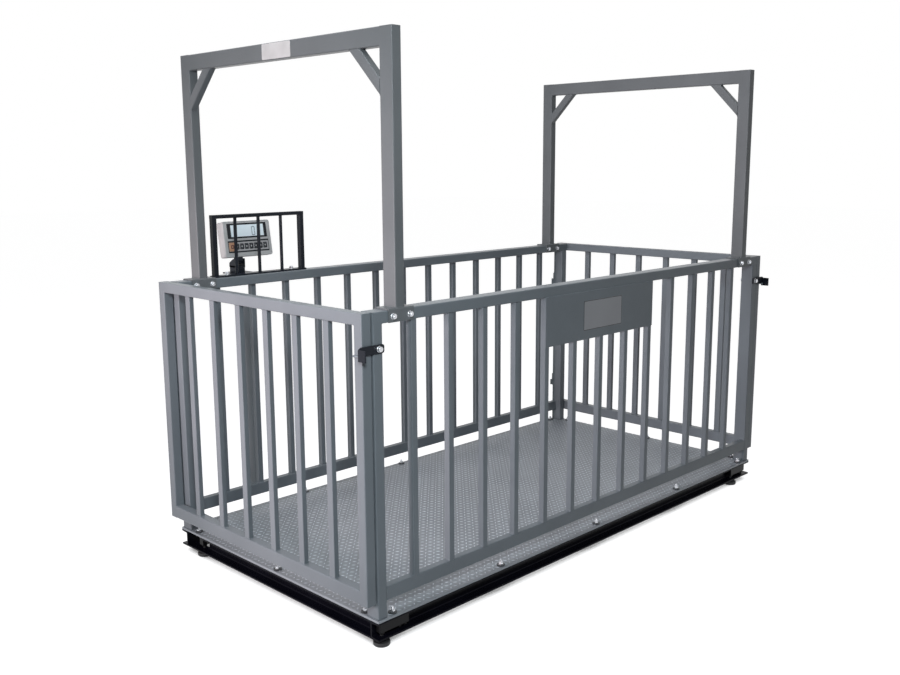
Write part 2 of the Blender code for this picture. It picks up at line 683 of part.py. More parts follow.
top_rails = {}
posts = {}
bar_rows = {
    "near": (NEAR_BARS_START, NEAR_BAR_PITCH),
    "far": (FAR_BARS_START, FAR_BAR_PITCH),
}
for side_name, side in (("near", -1), ("far", 1)):
    outer = side * PANEL_OUTER
    inner = side * PANEL_INNER
    low = (-POST_OUTER_X, outer, RAIL_UNDER)
    high = (POST_OUTER_X, inner, FENCE_TOP)
    top_rails[side_name] = closed_tube(side_name + "_top_rail", low, high)

    for end_name, end in (("front", -1), ("rear", 1)):
        bm = bmesh.new()
        low = (end * POST_INNER_X, inner, DECK_TOP + FIT)
        high = (end * POST_OUTER_X, outer, RAIL_UNDER - FIT)
        tube(bm, "Z", low, high)
        post = piece(side_name + "_" + end_name + "_post", bm, CAGE_PAINT)
        posts[side_name, end_name] = post

    rail_low = DECK_TOP + BOTTOM_RAIL_LIFT
    rail_high = rail_low + BOTTOM_RAIL_HEIGHT
    bm = bmesh.new()
    low = (FIT - POST_INNER_X, outer, rail_low)
    high = (POST_INNER_X - FIT, outer - side * BOTTOM_RAIL_DEPTH, rail_high)
    tube(bm, "X", low, high)
    rail = piece(side_name + "_bars", bm, CAGE_PAINT)
    bars = bmesh.new()
    start, pitch = bar_rows[side_name]
    for i in range(BAR_COUNT):
        x = start + i * pitch
        low = (x, outer, rail_high - WELD)
        high = (x + BAR_SIZE, outer - side * BAR_SIZE, RAIL_UNDER - FIT)
        tube(bars, "Z", low, high)
    weld(side_name + "_uprights", bars, rail)
    if side_name == "far":
        cover = bmesh.new()
        x = start + LEAD_COVER_BAR * pitch
        bottom = rail_low + LEAD_COVER_LIFT
        low = (x, outer - side * WELD, bottom)
        high = (x + LEAD_COVER_WIDTH, outer + side * LEAD_COVER_DEPTH, bottom + LEAD_COVER_HEIGHT)
        tube(cover, "Z", low, high)
        weld("lead_cover", cover, rail)

# Sign sheet on the near panel's bars, with a bare grey label plate; a white one is on the front arch

sign_left = NEAR_BARS_START + SIGN_FIRST_BAR * NEAR_BAR_PITCH
sign_right = NEAR_BARS_START + SIGN_LAST_BAR * NEAR_BAR_PITCH + BAR_SIZE
sign_top = RAIL_UNDER - SIGN_DROP
sign_back = -PANEL_OUTER - FIT
sign_face = sign_back - SHEET_THICK
bm = bmesh.new()
box(bm, (sign_left, sign_face, sign_top - SIGN_HEIGHT), (sign_right, sign_back, sign_top))
piece("sign_panel", bm, CAGE_PAINT)

bm = bmesh.new()
middle = sign_top - SIGN_HEIGHT / 2
label_back = sign_face - FIT
left = (sign_left + sign_right - SIGN_LABEL_WIDTH) / 2 + SIGN_LABEL_SHIFT
low = (left, label_back - LABEL_THICK, middle - SIGN_LABEL_HEIGHT / 2)
box(bm, low, (left + SIGN_LABEL_WIDTH, label_back, middle + SIGN_LABEL_HEIGHT / 2))
piece("sign_label", bm, LABEL_GREY)

bm = bmesh.new()
middle = ARCH_HEIGHT - TUBE_WIDE / 2
label_back = ARCH_FRONT - TUBE_NARROW / 2 - FIT
near = ARCH_LABEL_CENTRE - ARCH_LABEL_WIDTH / 2
low = (label_back - LABEL_THICK, near, middle - ARCH_LABEL_HEIGHT / 2)
box(bm, low, (label_back, near + ARCH_LABEL_WIDTH, middle + ARCH_LABEL_HEIGHT / 2))
piece("arch_label", bm, LABEL_WHITE)

# Arches: two capped posts, each welded on a saddle that is bolted over the top rail, and a
# beam between their tops with a knee brace in each corner


def nut_end(face, out, first, second):
    """Sections of a washer, a nut and a thread end that stand out from a face."""
    washer = face + out * BOLT_WASHER_THICK
    nut = washer + out * NUT_HEIGHT
    return [
        (face, circle(first, second, STUD_RADIUS)),
        (face, circle(first, second, BOLT_WASHER_RADIUS)),
        (washer, circle(first, second, BOLT_WASHER_RADIUS)),
        (washer, hexagon(first, second, NUT_APOTHEM)),
        (nut, hexagon(first, second, NUT_APOTHEM)),
        (nut, circle(first, second, STUD_RADIUS)),
        (nut + out * BOLT_END_PROUD, circle(first, second, STUD_RADIUS)),
    ]


def through_bolt(bm, axis, start, end, first, second):
    """Add a threaded rod with a washer and a nut at both ends."""
    out = 1 if end > start else -1
    sections = nut_end(start, -out, first, second)[::-1] + nut_end(end, out, first, second)
    loft(bm, axis, sections)


beam_under = ARCH_HEIGHT - TUBE_WIDE
saddle_skin = SADDLE_THICK + FIT
bolt_z = FENCE_TOP - TUBE_NARROW / 2
rail_holes = {"near": bmesh.new(), "far": bmesh.new()}
for end_name, x in (("front", ARCH_FRONT), ("rear", ARCH_REAR)):
    left = x - TUBE_NARROW / 2
    right = x + TUBE_NARROW / 2
    low = (left, FIT - PANEL_INNER, beam_under)
    high = (right, PANEL_INNER - FIT, ARCH_HEIGHT)
    beam = closed_tube(end_name + "_arch_beam", low, high, drain=(x, 0))
    braces = bmesh.new()
    for side_name, side in (("near", -1), ("far", 1)):
        outer = side * PANEL_OUTER
        inner = side * PANEL_INNER
        face = inner - side * FIT
        run = BRACE_SIZE * math.sqrt(2)
        outline = [
            (face, beam_under - BRACE_DROP),
            (face, beam_under - BRACE_DROP + run),
            (face - side * (BRACE_DROP - run + WELD), beam_under + WELD),
            (face - side * (BRACE_DROP + WELD), beam_under + WELD),
        ]
        prism(braces, "X", outline, left, left + BRACE_DEPTH)

        saddle = bmesh.new()
        outline = [
            (outer + side * (saddle_skin - SADDLE_BEVEL), SADDLE_TOP),
            (outer + side * saddle_skin, SADDLE_TOP - SADDLE_BEVEL),
            (outer + side * saddle_skin, RAIL_UNDER),
            (outer + side * FIT, RAIL_UNDER),
            (outer + side * FIT, FENCE_TOP + FIT),
            (inner - side * FIT, FENCE_TOP + FIT),
            (inner - side * FIT, RAIL_UNDER),
            (inner - side * saddle_skin, RAIL_UNDER),
            (inner - side * saddle_skin, SADDLE_TOP - SADDLE_BEVEL),
            (inner - side * (saddle_skin - SADDLE_BEVEL), SADDLE_TOP),
        ]
        prism(saddle, "X", outline, x - SADDLE_LENGTH / 2, x + SADDLE_LENGTH / 2)
        name = end_name + "_arch_" + side_name + "_post"
        arch_post = piece(name, saddle, CAGE_PAINT)

        near, far = sorted((inner, outer))
        upright = bmesh.new()
        box(upright, (left, near, SADDLE_TOP - WELD), (right, far, ARCH_HEIGHT))
        weld(name + "_upright", upright, arch_post)
        inside = bmesh.new()
        low = (left + TUBE_WALL, near + TUBE_WALL, SADDLE_TOP)
        box(inside, low, (right - TUBE_WALL, far - TUBE_WALL, ARCH_HEIGHT - TUBE_WALL))
        cut(name + "_inside", inside, arch_post)
        drain = bmesh.new()
        outline = circle((near + far) / 2, SADDLE_TOP + POST_DRAIN_RISE, DRAIN_RADIUS)
        prism(drain, "X", outline, right - TUBE_WALL * 2, right + TUBE_WALL)
        cut(name + "_drain", drain, arch_post)
        bolts = bmesh.new()
        for step in (-0.5, 0.5):
            bolt_x = x + step * SADDLE_BOLT_PITCH
            start = outer + side * (saddle_skin - WELD)
            end = inner - side * (saddle_skin - WELD)
            through_bolt(bolts, "Y", start, end, bolt_x, bolt_z)
            outline = circle(bolt_x, bolt_z, STUD_RADIUS + STUD_CLEARANCE, HOLE_SIDES)
            prism(rail_holes[side_name], "Y", outline, start, end)
        weld(name + "_bolts", bolts, arch_post)
    weld(end_name + "_braces", braces, beam)

# Latch pivots: a bolt through each near post, carrying the latch outside the post's face

latch_back = -PANEL_OUTER - FIT
latch_face = latch_back - LATCH_THICK
for end_name, end in (("front", -1), ("rear", 1)):
    bm = bmesh.new()
    x = end * LATCH_X
    washer_face = latch_face - FIT
    washer = washer_face - BOLT_WASHER_THICK
    nut_face = -PANEL_INNER - WELD
    sections = [
        (washer - NUT_HEIGHT, hexagon(x, LATCH_Z, NUT_APOTHEM)),
        (washer, hexagon(x, LATCH_Z, NUT_APOTHEM)),
        (washer, circle(x, LATCH_Z, BOLT_WASHER_RADIUS)),
        (washer_face, circle(x, LATCH_Z, BOLT_WASHER_RADIUS)),
        (washer_face, circle(x, LATCH_Z, STUD_RADIUS)),
        (nut_face, circle(x, LATCH_Z, STUD_RADIUS)),
        (nut_face, hexagon(x, LATCH_Z, NUT_APOTHEM)),
        (nut_face + NUT_HEIGHT, hexagon(x, LATCH_Z, NUT_APOTHEM)),
    ]
    loft(bm, "Y", sections)
    weld(end_name + "_latch_pivot", bm, posts["near", end_name])

# Guard: a strip bolted into the top of the far rail, with posts, bars and a rail welded on
# it, and a bracket that carries the indicator's column outside the rail

bm = bmesh.new()
strip_left = GUARD_LEFT - GUARD_STRIP_OVERHANG
strip_right = GUARD_RIGHT + GUARD_STRIP_OVERHANG
outline = [
    (strip_left, GUARD_STRIP_NEAR),
    (strip_right, GUARD_STRIP_NEAR),
    (strip_right, PANEL_OUTER),
    (BRACKET_RIGHT, PANEL_OUTER),
    (BRACKET_RIGHT, BRACKET_FAR),
    (BRACKET_LEFT, BRACKET_FAR),
    (BRACKET_LEFT, PANEL_OUTER),
    (strip_left, PANEL_OUTER),
]
prism(bm, "Z", outline, FENCE_TOP + FIT, GUARD_BASE_TOP)
guard = piece("indicator_guard", bm, BLACK_PAINT)

guard_top = FENCE_TOP + GUARD_HEIGHT
guard_rail_under = guard_top - GUARD_RAIL_HEIGHT
bm = bmesh.new()
for left in (GUARD_LEFT, GUARD_RIGHT - GUARD_POST_WIDTH):
    low = (left, GUARD_POST_NEAR, GUARD_BASE_TOP - WELD)
    high = (left + GUARD_POST_WIDTH, GUARD_POST_NEAR + GUARD_POST_DEPTH, guard_rail_under + WELD)
    box(bm, low, high)
gap = (GUARD_RIGHT - GUARD_LEFT) / (GUARD_BAR_COUNT + 1)
for i in range(GUARD_BAR_COUNT):
    outline = circle(GUARD_LEFT + (i + 1) * gap, GUARD_BAR_Y, GUARD_BAR_RADIUS)
    prism(bm, "Z", outline, GUARD_BASE_TOP - WELD, guard_rail_under + WELD)
for x in (GUARD_LEFT + GUARD_BOLT_INSET, GUARD_RIGHT - GUARD_BOLT_INSET):
    sections = nut_end(GUARD_BASE_TOP - WELD, 1, x, GUARD_BAR_Y)
    sections[0] = (FENCE_TOP - GUARD_BOLT_DEPTH, circle(x, GUARD_BAR_Y, STUD_RADIUS))
    sections.insert(1, (GUARD_BASE_TOP - WELD, circle(x, GUARD_BAR_Y, STUD_RADIUS)))
    loft(bm, "Z", sections)
    outline = circle(x, GUARD_BAR_Y, STUD_RADIUS + STUD_CLEARANCE, HOLE_SIDES)
    prism(rail_holes["far"], "Z", outline, FENCE_TOP - TUBE_WALL * 2, FENCE_TOP + GUARD_BASE_THICK)
weld("guard_uprights", bm, guard)
for side_name, holes in rail_holes.items():
    cut(side_name + "_bolt_holes", holes, top_rails[side_name])
bm = bmesh.new()
low = (GUARD_LEFT, GUARD_POST_NEAR, guard_rail_under)
box(bm, low, (GUARD_RIGHT, GUARD_POST_NEAR + GUARD_POST_DEPTH, guard_top))
weld("guard_rail", bm, guard)

# Indicator column: a tube with a clevis on its top and the pin that the head tilts on

column_far = COLUMN_NEAR + TUBE_WIDE
bm = bmesh.new()
low = (COLUMN_LEFT, COLUMN_NEAR, GUARD_BASE_TOP + FIT)
tube(bm, "Z", low, (COLUMN_RIGHT, column_far, COLUMN_TOP - EAR_BASE + WELD))
column = piece("indicator_column", bm, BLACK_PAINT)
bm = bmesh.new()
low = (COLUMN_LEFT, COLUMN_NEAR, COLUMN_TOP - EAR_BASE)
box(bm, low, (COLUMN_RIGHT, column_far, COLUMN_TOP))
weld("column_cap", bm, column)
bm = bmesh.new()
outline = [
    (COLUMN_NEAR, COLUMN_TOP - WELD),
    (column_far, COLUMN_TOP - WELD),
    (column_far, HEAD_PIVOT_Z - EAR_FAR_DROP),
    (HEAD_PIVOT_Y + EAR_BACK, HEAD_PIVOT_Z + EAR_BACK_RISE),
    (HEAD_PIVOT_Y + EAR_SHOULDER, HEAD_PIVOT_Z + EAR_RISE),
    (COLUMN_NEAR, HEAD_PIVOT_Z + EAR_FRONT_RISE),
]
for left in (COLUMN_LEFT, COLUMN_RIGHT - EAR_THICK):
    prism(bm, "X", outline, left, left + EAR_THICK)
weld("column_ears", bm, column)
bm = bmesh.new()
pin_head = circle(HEAD_PIVOT_Y, HEAD_PIVOT_Z, HEAD_PIN_HEAD_RADIUS)
pin_shank = circle(HEAD_PIVOT_Y, HEAD_PIVOT_Z, HEAD_PIN_RADIUS)
pin_left = COLUMN_LEFT + WELD
pin_right = COLUMN_RIGHT - WELD
sections = [
    (pin_left - HEAD_PIN_HEAD, pin_head),
    (pin_left, pin_head),
    (pin_left, pin_shank),
    (pin_right, pin_shank),
    (pin_right, pin_head),
    (pin_right + HEAD_PIN_HEAD, pin_head),
]
loft(bm, "X", sections)
weld("column_pin", bm, column)

# Indicator head: modelled upright about its pivot, and leaned back on it

head = bpy.data.objects.new("indicator_head", None)
head.parent = platform
head.location = (COLUMN_CENTRE, HEAD_PIVOT_Y, HEAD_PIVOT_Z)
head.rotation_euler = (-HEAD_TILT, 0, 0)
bpy.context.collection.objects.link(head)
head_left = HEAD_CENTRE - HEAD_WIDTH / 2
head_right = HEAD_CENTRE + HEAD_WIDTH / 2
head_top = HEAD_BOTTOM + HEAD_HEIGHT


def case_outline(inset):
    low = (head_left + inset, HEAD_BOTTOM + inset)
    high = (head_right - inset, head_top - inset)
    return rounded(*low, *high, HEAD_CORNER - inset)


bm = bmesh.new()
prism(bm, "Y", case_outline(0), -HEAD_FRONT, -HEAD_SPLIT)
front_case = piece("indicator_front_case", bm, CASE_PLASTIC, parent=head)
bm = bmesh.new()
prism(bm, "Y", case_outline(HEAD_WALL), HEAD_WALL - HEAD_FRONT, HEAD_SPLIT)
cut("front_cavity", bm, front_case, parent=head)

inlays = (
    ("display_window", DARK_PLASTIC, DISPLAY_WIDTH, DISPLAY_HEIGHT, DISPLAY_RISE, DISPLAY_LEDGE),
    ("keypad_plate", KEYPAD_GREY, KEYPAD_WIDTH, KEYPAD_HEIGHT, KEYPAD_RISE, KEYPAD_LEDGE),
)
inlay_back = INLAY_THICK - HEAD_FRONT
made_inlays = {}
for name, material, width, height, rise, ledge in inlays:
    left = HEAD_CENTRE - width / 2
    right = HEAD_CENTRE + width / 2
    low = HEAD_BOTTOM + rise
    high = low + height
    bm = bmesh.new()
    box(bm, (left, -HEAD_FRONT, low), (right, inlay_back, high))
    made_inlays[name] = piece(name, bm, material, parent=head)
    bm = bmesh.new()
    back = inlay_back + FIT
    box(bm, (left - FIT, -HEAD_FRONT - HEAD_WALL, low - FIT), (right + FIT, back, high + FIT))
    cut(name + "_pocket", bm, front_case, parent=head)
    bm = bmesh.new()
    back = HEAD_WALL * 2 - HEAD_FRONT
    box(bm, (left + ledge, -HEAD_FRONT, low + ledge), (right - ledge, back, high - ledge))
    cut(name + "_opening", bm, front_case, parent=head)

bm = bmesh.new()
prism(bm, "Y", case_outline(0), FIT - HEAD_SPLIT, HEAD_BACK)
back_case = piece("indicator_back_case", bm, CASE_PLASTIC, parent=head)
bm = bmesh.new()
prism(bm, "Y", case_outline(HEAD_WALL), -HEAD_WALL, HEAD_BACK - HEAD_WALL)
cut("back_cavity", bm, back_case, parent=head)

bm = bmesh.new()
lug_top = HEAD_BOTTOM + HEAD_WALL / 2
outline = [(LUG_RADIUS, lug_top), (FIT - HEAD_SPLIT, lug_top), (FIT - HEAD_SPLIT, HEAD_BOTTOM - FIT)]
outline += [(-LUG_FRONT, HEAD_BOTTOM - FIT), (-LUG_FRONT, LUG_FRONT_LOW)]
for i in range(LUG_STEPS + 1):
    angle = math.pi * (1 + i / LUG_STEPS)
    outline.append((LUG_RADIUS * math.cos(angle), LUG_RADIUS * math.sin(angle)))
prism(bm, "X", outline, -LUG_WIDTH / 2, LUG_WIDTH / 2)
for i in (1, 2):
    outline = circle(LUG_WIDTH / 2 + i * GLAND_SPACING, HEAD_BOTTOM + GLAND_RISE, GLAND_RADIUS)
    prism(bm, "Y", outline, HEAD_BACK - WELD, HEAD_BACK + GLAND_LENGTH)
weld("lug_and_glands", bm, back_case, parent=head)
bm = bmesh.new()
prism(bm, "X", circle(0, 0, HEAD_PIN_RADIUS + PIVOT_CLEARANCE), -LUG_WIDTH, LUG_WIDTH)
cut("lug_bore", bm, back_case, parent=head)

key_z = HEAD_BOTTOM + KEYPAD_RISE + KEYPAD_HEIGHT / 2
half = KEY_SIZE / 2
holes = bmesh.new()
for i in range(KEY_COUNT):
    x = HEAD_CENTRE + (i - (KEY_COUNT - 1) / 2) * KEY_PITCH
    reach = half + FIT
    low = (x - reach, -HEAD_FRONT - HEAD_WALL, key_z - reach)
    box(holes, low, (x + reach, HEAD_WALL - HEAD_FRONT, key_z + reach))
    bm = bmesh.new()
    front = -HEAD_FRONT - KEY_PROUD
    box(bm, (x - half, front, key_z - half), (x + half, front + KEY_DEPTH, key_z + half))
    colour = KEY_ORANGE if i == 0 else KEYPAD_GREY
    piece("key_%d" % (i + 1), bm, colour, origin=(x, -HEAD_FRONT, key_z), parent=head)
cut("key_holes", holes, made_inlays["keypad_plate"], parent=head)

# Gates: each hangs on the far post and shuts against the near one. The hinges' lower
# halves are welded on the far posts and carry the pins; the barrels are on the gates.


def hinge_outline(x, end, reach, back):
    """Outline of a round knuckle with a lug that points to one side and back to a face."""
    outline = [(x, back), (x + end * reach, back), (x + end * reach, HINGE_Y)]
    for i in range(ROUND_SIDES):
        angle = math.radians(270) * i / (ROUND_SIDES - 1)
        across = end * BARREL_RADIUS * math.cos(angle)
        outline.append((x + across, HINGE_Y + BARREL_RADIUS * math.sin(angle)))
    return outline


gate_low = DECK_TOP + GATE_LIFT
gate_rail_high = gate_low + GATE_BOTTOM_RAIL_HEIGHT
for end_name, end in (("front", -1), ("rear", 1)):
    hinge = (end * HINGE_X, HINGE_Y, 0)
    inner_x = end * GATE_INNER_X
    outer_x = end * GATE_OUTER_X
    middle_x = (inner_x + outer_x) / 2
    stiles = {}
    for side_name, low_y in (("near", GATE_NEAR), ("far", GATE_FAR - TUBE_NARROW)):
        high_y = low_y + TUBE_NARROW
        stiles[side_name] = closed_tube(
            end_name + "_gate_" + side_name + "_stile",
            (inner_x, low_y, gate_low),
            (outer_x, high_y, FENCE_TOP),
            drain=(middle_x, (low_y + high_y) / 2),
            origin=hinge,
        )
    bm = bmesh.new()
    catch = circle(end * CATCH_X, CATCH_Z, CATCH_RADIUS)
    prism(bm, "Y", catch, GATE_NEAR - CATCH_PROUD, GATE_NEAR + CATCH_ON_STILE)
    weld(end_name + "_catch", bm, stiles["near"])

    rail_near = GATE_NEAR + TUBE_NARROW + FIT
    rail_far = GATE_FAR - TUBE_NARROW - FIT
    bm = bmesh.new()
    tube(bm, "Y", (inner_x, rail_near, RAIL_UNDER), (outer_x, rail_far, FENCE_TOP))
    piece(end_name + "_gate_top_rail", bm, CAGE_PAINT, origin=hinge)
    bm = bmesh.new()
    tube(bm, "Y", (inner_x, rail_near, gate_low), (outer_x, rail_far, gate_rail_high))
    rail = piece(end_name + "_gate_bars", bm, CAGE_PAINT, origin=hinge)
    bm = bmesh.new()
    bar_outer = outer_x - end * GATE_BAR_INSET
    for i in range(GATE_BAR_COUNT):
        near = GATE_NEAR + TUBE_NARROW + GATE_FIRST_BAR_GAP + i * GATE_BAR_PITCH
        low = (bar_outer - end * GATE_BAR_DEPTH, near, gate_rail_high - WELD)
        high = (bar_outer, near + GATE_BAR_SIZE, RAIL_UNDER - FIT)
        tube(bm, "Z", low, high)
    weld(end_name + "_gate_uprights", bm, rail)

    barrels = bmesh.new()
    bores = bmesh.new()
    knuckles = bmesh.new()
    pins = bmesh.new()
    for knuckle_low in HINGE_HEIGHTS:
        knuckle_high = knuckle_low + BARREL_LENGTH
        barrel_low = knuckle_high + FIT
        outline = hinge_outline(hinge[0], end, LEAF_REACH, GATE_FAR - WELD)
        prism(barrels, "Z", outline, barrel_low, barrel_low + BARREL_LENGTH)
        bore = circle(hinge[0], HINGE_Y, PIN_RADIUS + PIN_CLEARANCE)
        prism(bores, "Z", bore, knuckle_high, barrel_low + BARREL_LENGTH + PIN_PROUD)
        outline = hinge_outline(hinge[0], -end, KNUCKLE_REACH, PANEL_OUTER - WELD)
        prism(knuckles, "Z", outline, knuckle_low, knuckle_high)
        pin = circle(hinge[0], HINGE_Y, PIN_RADIUS)
        prism(pins, "Z", pin, knuckle_high - WELD, knuckle_high + PIN_PROUD)
    weld(end_name + "_barrels", barrels, stiles["far"])
    cut(end_name + "_bores", bores, stiles["far"])
    weld(end_name + "_knuckles", knuckles, posts["far", end_name])
    weld(end_name + "_pins", pins, posts["far", end_name])

# Latches: a flat bar, a hook over the gate's rod and a tab to lift it by

hook_low = LATCH_Z - LATCH_HOOK_DROP
bottom = LATCH_Z - LATCH_HALF_WIDTH
top = LATCH_Z + LATCH_HALF_WIDTH
tab_top = LATCH_Z + LATCH_TAB_RISE
for end_name, end in (("front", -1), ("rear", 1)):
    tail = end * (LATCH_X - LATCH_TAIL)
    outline = [
        (tail, bottom),
        (end * LATCH_HOOK_X, bottom),
        (end * LATCH_HOOK_X, hook_low),
        (end * LATCH_END_X, hook_low),
        (end * LATCH_END_X, tab_top),
        (end * LATCH_HOOK_X, top),
        (tail, top),
    ]
    bm = bmesh.new()
    prism(bm, "Y", outline, latch_face, latch_back)
    pivot = (end * LATCH_X, latch_back, LATCH_Z)
    latch = piece(end_name + "_latch", bm, BLACK_PAINT, origin=pivot)
    bm = bmesh.new()
    low = (end * (LATCH_END_X - LATCH_THICK), -NEAR_REACH, hook_low)
    box(bm, low, (end * LATCH_END_X, latch_face + WELD, tab_top))
    weld(end_name + "_latch_tab", bm, latch)
    bm = bmesh.new()
    outline = circle(end * LATCH_X, LATCH_Z, STUD_RADIUS + PIVOT_CLEARANCE)
    prism(bm, "Y", outline, latch_face - LATCH_THICK, latch_back + LATCH_THICK)
    cut(end_name + "_latch_hole", bm, latch)
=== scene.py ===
"""A livestock platform scale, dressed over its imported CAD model.

The sections follow the scale as it is put together: base frame, load cells and feet, deck,
side panels, arches, gates and latches, and the indicator with its guard.
"""

import json
import math

import bmesh
import bpy
from mathutils import Matrix, Vector

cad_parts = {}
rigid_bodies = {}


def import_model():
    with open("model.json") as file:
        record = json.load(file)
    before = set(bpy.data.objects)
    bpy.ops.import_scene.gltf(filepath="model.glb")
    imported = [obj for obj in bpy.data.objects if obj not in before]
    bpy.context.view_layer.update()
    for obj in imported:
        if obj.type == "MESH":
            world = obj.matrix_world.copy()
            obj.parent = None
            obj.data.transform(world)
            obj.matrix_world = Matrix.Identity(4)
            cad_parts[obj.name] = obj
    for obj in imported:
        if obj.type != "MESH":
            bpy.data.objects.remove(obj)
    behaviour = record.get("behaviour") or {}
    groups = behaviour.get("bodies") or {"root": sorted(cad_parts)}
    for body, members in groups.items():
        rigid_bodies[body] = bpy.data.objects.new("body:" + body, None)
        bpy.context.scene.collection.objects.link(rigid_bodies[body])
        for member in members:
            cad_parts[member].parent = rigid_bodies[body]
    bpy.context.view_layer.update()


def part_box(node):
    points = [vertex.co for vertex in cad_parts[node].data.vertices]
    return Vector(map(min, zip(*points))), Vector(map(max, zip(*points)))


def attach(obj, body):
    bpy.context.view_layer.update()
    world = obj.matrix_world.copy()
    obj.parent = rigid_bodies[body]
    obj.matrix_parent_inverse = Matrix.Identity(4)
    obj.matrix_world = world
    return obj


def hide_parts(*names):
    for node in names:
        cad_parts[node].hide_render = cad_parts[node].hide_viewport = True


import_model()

# The platform's middle line stands this far from the origin, which is the footprint's middle.
PLATFORM_SIDE = -0.02275

# Camera: the photograph's view, from the front left corner a little above the rails. Its
# place, turn and lens were solved from the straight edges of the scale.


def placed(name, data):
    """Put a new object in the scene and return it."""
    item = bpy.data.objects.new(name, data)
    bpy.context.collection.objects.link(item)
    return item


CAMERA_PLACE = Vector((-3.2373, -2.9371 + PLATFORM_SIDE, 1.5986))
CAMERA_YAW = math.radians(44.761)
CAMERA_PITCH = math.radians(-10.122)
CAMERA_ROLL = math.radians(-0.333)
CAMERA_LENS = 39.27

ahead = Vector((math.cos(CAMERA_YAW), math.sin(CAMERA_YAW), math.tan(CAMERA_PITCH))).normalized()
level = ahead.cross(Vector((0, 0, 1))).normalized()
turn = Matrix((level, level.cross(ahead), -ahead)).transposed() @ Matrix.Rotation(CAMERA_ROLL, 3, "Z")
camera = placed("camera", bpy.data.cameras.new("camera"))
camera.data.lens = CAMERA_LENS
camera.data.sensor_width = 36
camera.data.sensor_fit = "HORIZONTAL"
camera.matrix_world = Matrix.Translation(CAMERA_PLACE) @ turn.to_4x4()
bpy.context.scene.camera = camera
bpy.context.scene.view_settings.view_transform = "Standard"

# Studio: a white floor and an even white room, with a broad lamp over the scale, one beside
# the camera, a low one and a soft spot on the front gate. A small spot lights the indicator.
# The floor is white to the camera, with a painted contact shadow where the scale stands close over it.


def add(tree, kind, values, output=0, **settings):
    """Add a node with its settings and its inputs, set or linked, and return one output."""
    node = tree.nodes.new(kind)
    for name, value in settings.items():
        setattr(node, name, value)
    for name, value in values.items():
        if isinstance(value, bpy.types.NodeSocket):
            tree.links.new(value, node.inputs[name])
        else:
            node.inputs[name].default_value = value
    return node.outputs[output]


def seen_directly(tree):
    """Return 1 on rays from the camera, off a glossy surface or through glass, and else 0."""
    path = tree.nodes.new("ShaderNodeLightPath").outputs
    highest = path["Is Camera Ray"]
    for ray in ("Is Glossy Ray", "Is Transmission Ray"):
        highest = add(tree, "ShaderNodeMath", {0: highest, 1: path[ray]}, operation="MAXIMUM")
    return highest


def emptied(owner):
    """Clear the nodes of a material or a world, and return its node tree."""
    owner.use_nodes = True
    owner.node_tree.nodes.clear()
    return owner.node_tree


def finished(owner, surface, kind="Material"):
    """Give a material or a world its surface, and return it."""
    output = owner.node_tree.nodes.new("ShaderNodeOutput" + kind)
    owner.node_tree.links.new(surface, output.inputs["Surface"])
    return owner


floor_paint = bpy.data.materials.new("floor_paint")
tree = emptied(floor_paint)
# Painted contact shadow: ambient occlusion dims the floor's glow where the scale stands close over it.
clear = add(tree, "ShaderNodeAmbientOcclusion", {"Distance": 0.14}, "AO", samples=8)
ends = {"Value": clear, "From Min": 0.15, "From Max": 0.42, "To Max": 0.975}
clear = add(tree, "ShaderNodeMapRange", ends)
white = add(tree, "ShaderNodeMath", {0: seen_directly(tree), 1: clear}, operation="MULTIPLY")
matt = add(tree, "ShaderNodeBsdfDiffuse", {"Color": (0.4, 0.4, 0.41, 1)})
glow = add(tree, "ShaderNodeEmission", {"Color": (1, 1, 1, 1), "Strength": white})
finished(floor_paint, add(tree, "ShaderNodeAddShader", {0: matt, 1: glow}))

floor_mesh = bpy.data.meshes.new("floor")
floor_mesh.from_pydata([(-30, -30, 0), (30, -30, 0), (30, 30, 0), (-30, 30, 0)], [], [(0, 1, 2, 3)])
floor_mesh.materials.append(floor_paint)
floor = placed("floor", floor_mesh)

world = bpy.data.worlds.new("studio")
bpy.context.scene.world = world
tree = emptied(world)
room = {"Value": seen_directly(tree), "To Min": 0.05, "To Max": 1.0}
room = {"Color": (1, 1, 1, 1), "Strength": add(tree, "ShaderNodeMapRange", room)}
finished(world, add(tree, "ShaderNodeBackground", room), "World")

for name, place, target, size, power, tint, angle in (
    ("over_lamp", (-1.3, 0.0, 3.8), (-0.6, 0, 0), 2.0, 55, (0.93, 0.97, 1.0), 0),
    ("view_lamp", (-2.9, -2.6, 2.3), (-0.8, -0.3, 0.8), 0.5, 58, (0.86, 0.96, 1.0), 0),
    ("low_lamp", (-5.5, 0.2, 0.6), (-1.2, 0, 0.3), 1.5, 34, (0.85, 0.95, 1.0), 0),
    ("gate_lamp", (-4.0, 0.3, 1.15), (-1.2, -0.1, 0.95), 0.35, 400, (1.0, 0.84, 0.85), 54),
    ("indicator_lamp", (-1.3, -2.2, 2.3), (-0.85, 0.60, 1.28), 0.3, 92, (1, 1, 1), 9),
):
    light = bpy.data.lights.new(name, "SPOT" if angle else "AREA")
    light.energy = power
    light.color = tint
    if angle:
        light.spot_size = math.radians(angle)
        light.spot_blend = 1.0
        light.shadow_soft_size = size
    else:
        light.size = size
    turn = (Vector(target) - Vector(place)).to_track_quat("-Z", "Y").to_matrix().to_4x4()
    placed(name, light).matrix_world = Matrix.Translation(place) @ turn

# Base frame: rolled steel channel with its open side outwards, welded at the corners, with
# three cross members. It is painted gloss black and the welds show as a raised line.

BEAM_LOW = 0.0247
BEAM_HIGH = 0.0897
BEAM_FLANGE = 0.042
BEAM_WEB = 0.0055
BEAM_FLANGE_THICK = 0.0075
BEAM_ROOT = 0.0040
BEAM_TOE = 0.0018


